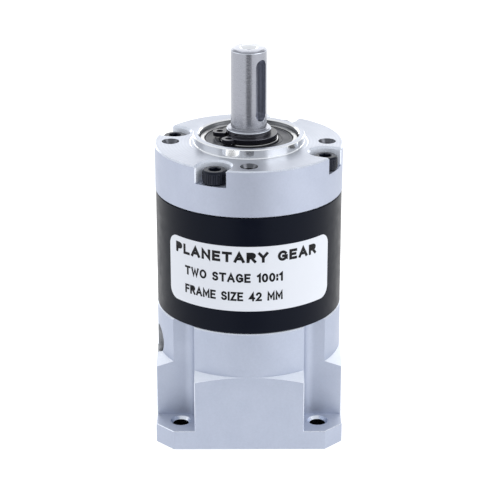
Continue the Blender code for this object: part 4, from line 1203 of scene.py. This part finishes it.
def build_output_shaft():
    disc_bottom, disc_top = CARRIER_SPAN
    groove_top = CIRCLIP_Z + CIRCLIP_THICKNESS + 0.05
    body = turned(
        [
            (0, disc_bottom), (CARRIER_RADIUS - 0.2, disc_bottom),
            (CARRIER_RADIUS, disc_bottom + 0.2), (CARRIER_RADIUS, disc_top - 0.2),
            (CARRIER_RADIUS - 0.2, disc_top), (SHOULDER_RADIUS, disc_top),
            (SHOULDER_RADIUS, REAR_BEARING_Z - FIT_GAP),
            (JOURNAL_RADIUS, REAR_BEARING_Z - FIT_GAP), (JOURNAL_RADIUS, CIRCLIP_Z - FIT_GAP),
            (CIRCLIP_GROOVE_RADIUS, CIRCLIP_Z - FIT_GAP), (CIRCLIP_GROOVE_RADIUS, groove_top),
            (JOURNAL_RADIUS, groove_top), (JOURNAL_RADIUS, COLLAR_TOP - 0.35),
            (JOURNAL_RADIUS - 0.08, COLLAR_TOP - 0.22), (JOURNAL_RADIUS - 0.35, COLLAR_TOP),
            (SHAFT_RADIUS + 0.15, COLLAR_TOP), (SHAFT_RADIUS, COLLAR_TOP + 0.15),
            (SHAFT_RADIUS, SHAFT_TOP - SHAFT_CHAMFER),
            (SHAFT_RADIUS - 0.06, SHAFT_TOP - SHAFT_CHAMFER + 0.1),
            (SHAFT_RADIUS - SHAFT_CHAMFER, SHAFT_TOP - 0.02),
            (SHAFT_RADIUS - SHAFT_CHAMFER - 0.06, SHAFT_TOP), (CENTRE_HOLE_MOUTH, SHAFT_TOP),
            (CENTRE_HOLE_RADIUS, SHAFT_TOP - 0.8),
            (CENTRE_HOLE_RADIUS, SHAFT_TOP - CENTRE_HOLE_DEPTH),
            (0, SHAFT_TOP - CENTRE_HOLE_DEPTH - 0.7),
        ],
        SHAFT_SEGMENTS,
    )
    cutters = [keyway_tool()]
    for centre in PLANET_CENTRES:
        cutters.append(cylinder(PIN_RADIUS + 0.03, disc_bottom - 1.0, disc_top + 0.3, 24, centre))
    combine(body, cutters)

    def share(middle):
        return 1.0 if middle.z > COLLAR_TOP else 0.0

    # The top edge bevels take the lighter edge aluminium: painted highlight
    edge = dict(width=SHAFT_EDGE_BREAK, rule=share, edge_material=MACHINED_EDGE_AND_HIGHLIGHT)
    item = finish(
        body, "output_shaft_ground", "output", "ground_steel", SHAFT_STEEL, ["output_shaft"],
        edge=edge,
    )
    outward = Vector((math.cos(KEYWAY_ANGLE), math.sin(KEYWAY_ANGLE), 0))

    def choose(middle, normal, nearest, furthest):
        radius = math.hypot(middle.x, middle.y)
        in_keyway = KEYWAY_BOTTOM_Z - 0.1 < middle.z < KEYWAY_TOP_Z + 0.1
        if in_keyway and radius < SHAFT_RADIUS - 0.05 and middle.dot(outward) > KEYWAY_FLOOR - 0.1:
            return SLOT_STEEL
        if COLLAR_TOP - 0.4 < middle.z < COLLAR_TOP + 0.01 and nearest > SHAFT_RADIUS + 0.3:
            return MACHINED_EDGE_AND_HIGHLIGHT if middle.z < COLLAR_TOP - 0.2 and normal.z > 0.3 else None
        if CIRCLIP_Z < middle.z < COLLAR_TOP and nearest > SHAFT_RADIUS + 0.3:
            return JOURNAL_STEEL_AND_HOLE_SHADE
        # Inside the centre hole the dark steel is painted shade; the mouth cone keeps its turned
        # finish
        if middle.z > SHAFT_TOP - CENTRE_HOLE_DEPTH - 1.0 and furthest < CENTRE_HOLE_MOUTH + 0.1:
            in_mouth = nearest > CENTRE_HOLE_RADIUS - 0.05 and normal.z > 0.3
            return TURNED if in_mouth else JOURNAL_STEEL_AND_HOLE_SHADE
        return None

    paint_faces(item, [SLOT_STEEL, MACHINED_EDGE_AND_HIGHLIGHT, JOURNAL_STEEL_AND_HOLE_SHADE, TURNED], choose)


# ================================================================ input side


def build_input_hub():
    """A split collar that clamps the motor shaft, with a neck that carries the first sun."""
    neck = INPUT_BEARING[0] - 0.02
    ring_low = INPUT_BEARING_Z + INPUT_BEARING[2] + 0.05
    shoulder = INPUT_BEARING_Z - FIT_GAP
    body = turned(
        [
            (MOTOR_SHAFT_RADIUS + 0.35, HUB_BOTTOM), (HUB_RADIUS - 0.4, HUB_BOTTOM),
            (HUB_RADIUS, HUB_BOTTOM + 0.4), (HUB_RADIUS, HUB_TOP - 0.3),
            (HUB_RADIUS - 0.3, HUB_TOP), (neck + 0.9, HUB_TOP), (neck + 0.9, shoulder),
            (neck, shoulder), (neck, ring_low), (HUB_GROOVE_RADIUS, ring_low),
            (HUB_GROOVE_RADIUS, ring_low + HUB_GROOVE_WIDTH), (neck, ring_low + HUB_GROOVE_WIDTH),
            (neck, NECK_TOP), (PIN_RADIUS + 0.03, NECK_TOP), (PIN_RADIUS + 0.03, SUN_SEAT_Z),
            (0, SUN_SEAT_Z), (0, SUN_SEAT_Z - 1.0), (MOTOR_SHAFT_RADIUS, SUN_SEAT_Z - 1.0),
            (MOTOR_SHAFT_RADIUS, HUB_BOTTOM + 0.35),
        ],
        SHAFT_SEGMENTS,
    )
    half, reach = HUB_SLIT_HALF_WIDTH, -HUB_RADIUS - 1
    slit_outline = [(-half, reach), (half, reach), (half, 0), (-half, 0)]
    slit = prism(slit_outline, HUB_BOTTOM - 1.0, HUB_TOP - 0.8)
    shank_hole = cylinder(SCREW_RADIUS + 0.1, reach, 7.8, 24)
    head_hole = cylinder(SCREW_HEAD_RADIUS + 0.2, reach, CLAMP_SEAT_X + FIT_GAP, HOLE_SEGMENTS)
    turn_to_x(shank_hole, CLAMP_SCREW_Y, CLAMP_SCREW_Z)
    turn_to_x(head_hole, CLAMP_SCREW_Y, CLAMP_SCREW_Z)
    combine(body, [slit, shank_hole, head_hole])
    # The hub's bevels take the lighter edge aluminium: painted highlight
    edge = dict(width=HUB_EDGE_BREAK, edge_material=MACHINED_EDGE_AND_HIGHLIGHT)
    finish(body, "input_hub_turned", "input", "gear_steel", SHAFT_STEEL, ["input_hub"], edge=edge)
    screw = socket_head(CLAMP_HEAD_HEIGHT, CLAMP_SCREW_LENGTH)
    screw.data.transform(Matrix.Rotation(-math.pi / 2, 4, "Y"))
    screw.data.transform(Matrix.Translation((CLAMP_SEAT_X, CLAMP_SCREW_Y, CLAMP_SCREW_Z)))
    # Screw edge bevels take the lighter oxide: wear with a painted glint
    edge = dict(width=SCREW_EDGE_BREAK, angle=28.0, edge_material=OXIDE_WEAR_AND_GLINT)
    finish(screw, "clamp_screw_knurled", "input", "black_oxide", OXIDE, ["clamp_screw"], edge=edge)


# ================================================================ build and paint

build_motor_adapter()
build_ring_gear()
build_output_flange()
build_flange_screws()
build_nameplate()
for line_number, line in enumerate(PRINTED_LINES, 1):
    build_print(line_number, *line)
build_front_bearing()
build_ball_cages()
build_shaft_circlip()
build_output_shaft()
build_input_hub()

CAD_LOOKS = {
    "bearing_retaining_ring": SPRING,
    "hub_circlip": SPRING,
    "bearing_spacer": SHAFT_STEEL,
}
for name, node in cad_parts.items():
    if name in CAD_LOOKS:
        repaint(node, CAD_LOOKS[name])
    elif "inner_ring" in name or "outer_ring" in name or "_pin_" in name:
        repaint(node, RACE_STEEL)
    elif name.startswith("stage_"):
        repaint(node, GEAR_STEEL)


# ================================================================ studio


def glowing_card(name, strength, grey):
    material = bpy.data.materials.new(name)
    material.use_nodes = True
    shader = material.node_tree.nodes["Principled BSDF"]
    shader.inputs["Base Color"].default_value = (*grey, 1.0)
    shader.inputs["Roughness"].default_value = 0.9
    shader.inputs["Emission Color"].default_value = (1.0, 1.0, 1.0, 1.0)
    shader.inputs["Emission Strength"].default_value = strength
    return material


def flat_sheet(name, corners, height, material):
    bm = bmesh.new()
    bm.faces.new([bm.verts.new((x, y, height)) for x, y in corners])
    mesh = bpy.data.meshes.new(name)
    bm.to_mesh(mesh)
    bm.free()
    item = bpy.data.objects.new(name, mesh)
    item.data.materials.append(material)
    bpy.context.scene.collection.objects.link(item)
    return item


def square(half):
    return [(-half, -half), (half, -half), (half, half), (-half, half)]


WHITE_FLOOR = glowing_card("white_floor", 0.95, (0.3, 0.3, 0.3))
SHADE_CARD = glowing_card("shade_card", 0.0, (0.05, 0.05, 0.06))
DARK_CARD = glowing_card("dark_card", 0.18, (0.05, 0.05, 0.06))
FLOOR_HALF, FLOOR_Z = 3.0, -0.0004
UNDER_HALF, UNDER_Z = 0.0186, -0.0003
CARD_NEAR, CARD_FAR, CARD_HALF, CARD_Z = -0.09, -0.45, 0.027, 0.001
CARD_SPREAD = 5

flat_sheet("studio_floor", square(FLOOR_HALF), FLOOR_Z, WHITE_FLOOR)
flat_sheet("shade_under_foot", square(UNDER_HALF), UNDER_Z, SHADE_CARD)
near = [(-CARD_HALF, CARD_NEAR), (CARD_HALF, CARD_NEAR)]
far = [(CARD_HALF * CARD_SPREAD, CARD_FAR), (-CARD_HALF * CARD_SPREAD, CARD_FAR)]
front_card = flat_sheet("front_card", near + far, CARD_Z, DARK_CARD)
front_card.visible_camera = False
front_card.visible_shadow = False


LIGHT_AIM_Z = 0.045


def softbox(name, azimuth, elevation, distance, width, height, radiance):
    """A rectangular light aimed at the middle of the gearbox; azimuth 0 is the front, + is right."""
    light = bpy.data.lights.new(name, "AREA")
    light.shape = "RECTANGLE"
    light.size, light.size_y = width, height
    light.energy = radiance * math.pi * width * height
    item = bpy.data.objects.new(name, light)
    a, e = math.radians(azimuth), math.radians(elevation)
    middle = Vector((0, 0, LIGHT_AIM_Z))
    offset = Vector((math.sin(a) * math.cos(e), -math.cos(a) * math.cos(e), math.sin(e)))
    item.location = middle + offset * distance
    item.rotation_euler = (-offset).to_track_quat("-Z", "Y").to_euler()
    bpy.context.scene.collection.objects.link(item)


softbox("left_softbox", -85, 20, 0.75, 0.55, 0.5, 0.7)
softbox("right_softbox", 60, 20, 0.75, 0.6, 0.5, 1.9)
softbox("top_softbox", 180, 65, 0.9, 0.9, 0.7, 1.1)
softbox("back_softbox", 180, 20, 0.95, 1.4, 0.6, 1.25)

world = bpy.data.worlds.new("studio")
bpy.context.scene.world = world
world.use_nodes = True
world.node_tree.nodes["Background"].inputs["Color"].default_value = (0.95, 0.97, 1.0, 1.0)
world.node_tree.nodes["Background"].inputs["Strength"].default_value = 0.85

scene = bpy.context.scene
scene.view_settings.view_transform = "Standard"

CAMERA_LENS = 127.34
CAMERA_PLACE = (-1.185 * MM, -375.51 * MM, 188.30 * MM)
CAMERA_DOWN = 0.375877
CAMERA_PAN = -0.0038415

camera_data = bpy.data.cameras.new("camera")
camera_data.sensor_width = 36.0
camera_data.lens = CAMERA_LENS
camera_data.clip_start = 0.01
camera = bpy.data.objects.new("camera", camera_data)
camera.location = CAMERA_PLACE
camera.rotation_euler = (math.pi / 2 - CAMERA_DOWN, 0.0, CAMERA_PAN)
scene.collection.objects.link(camera)
scene.camera = camera
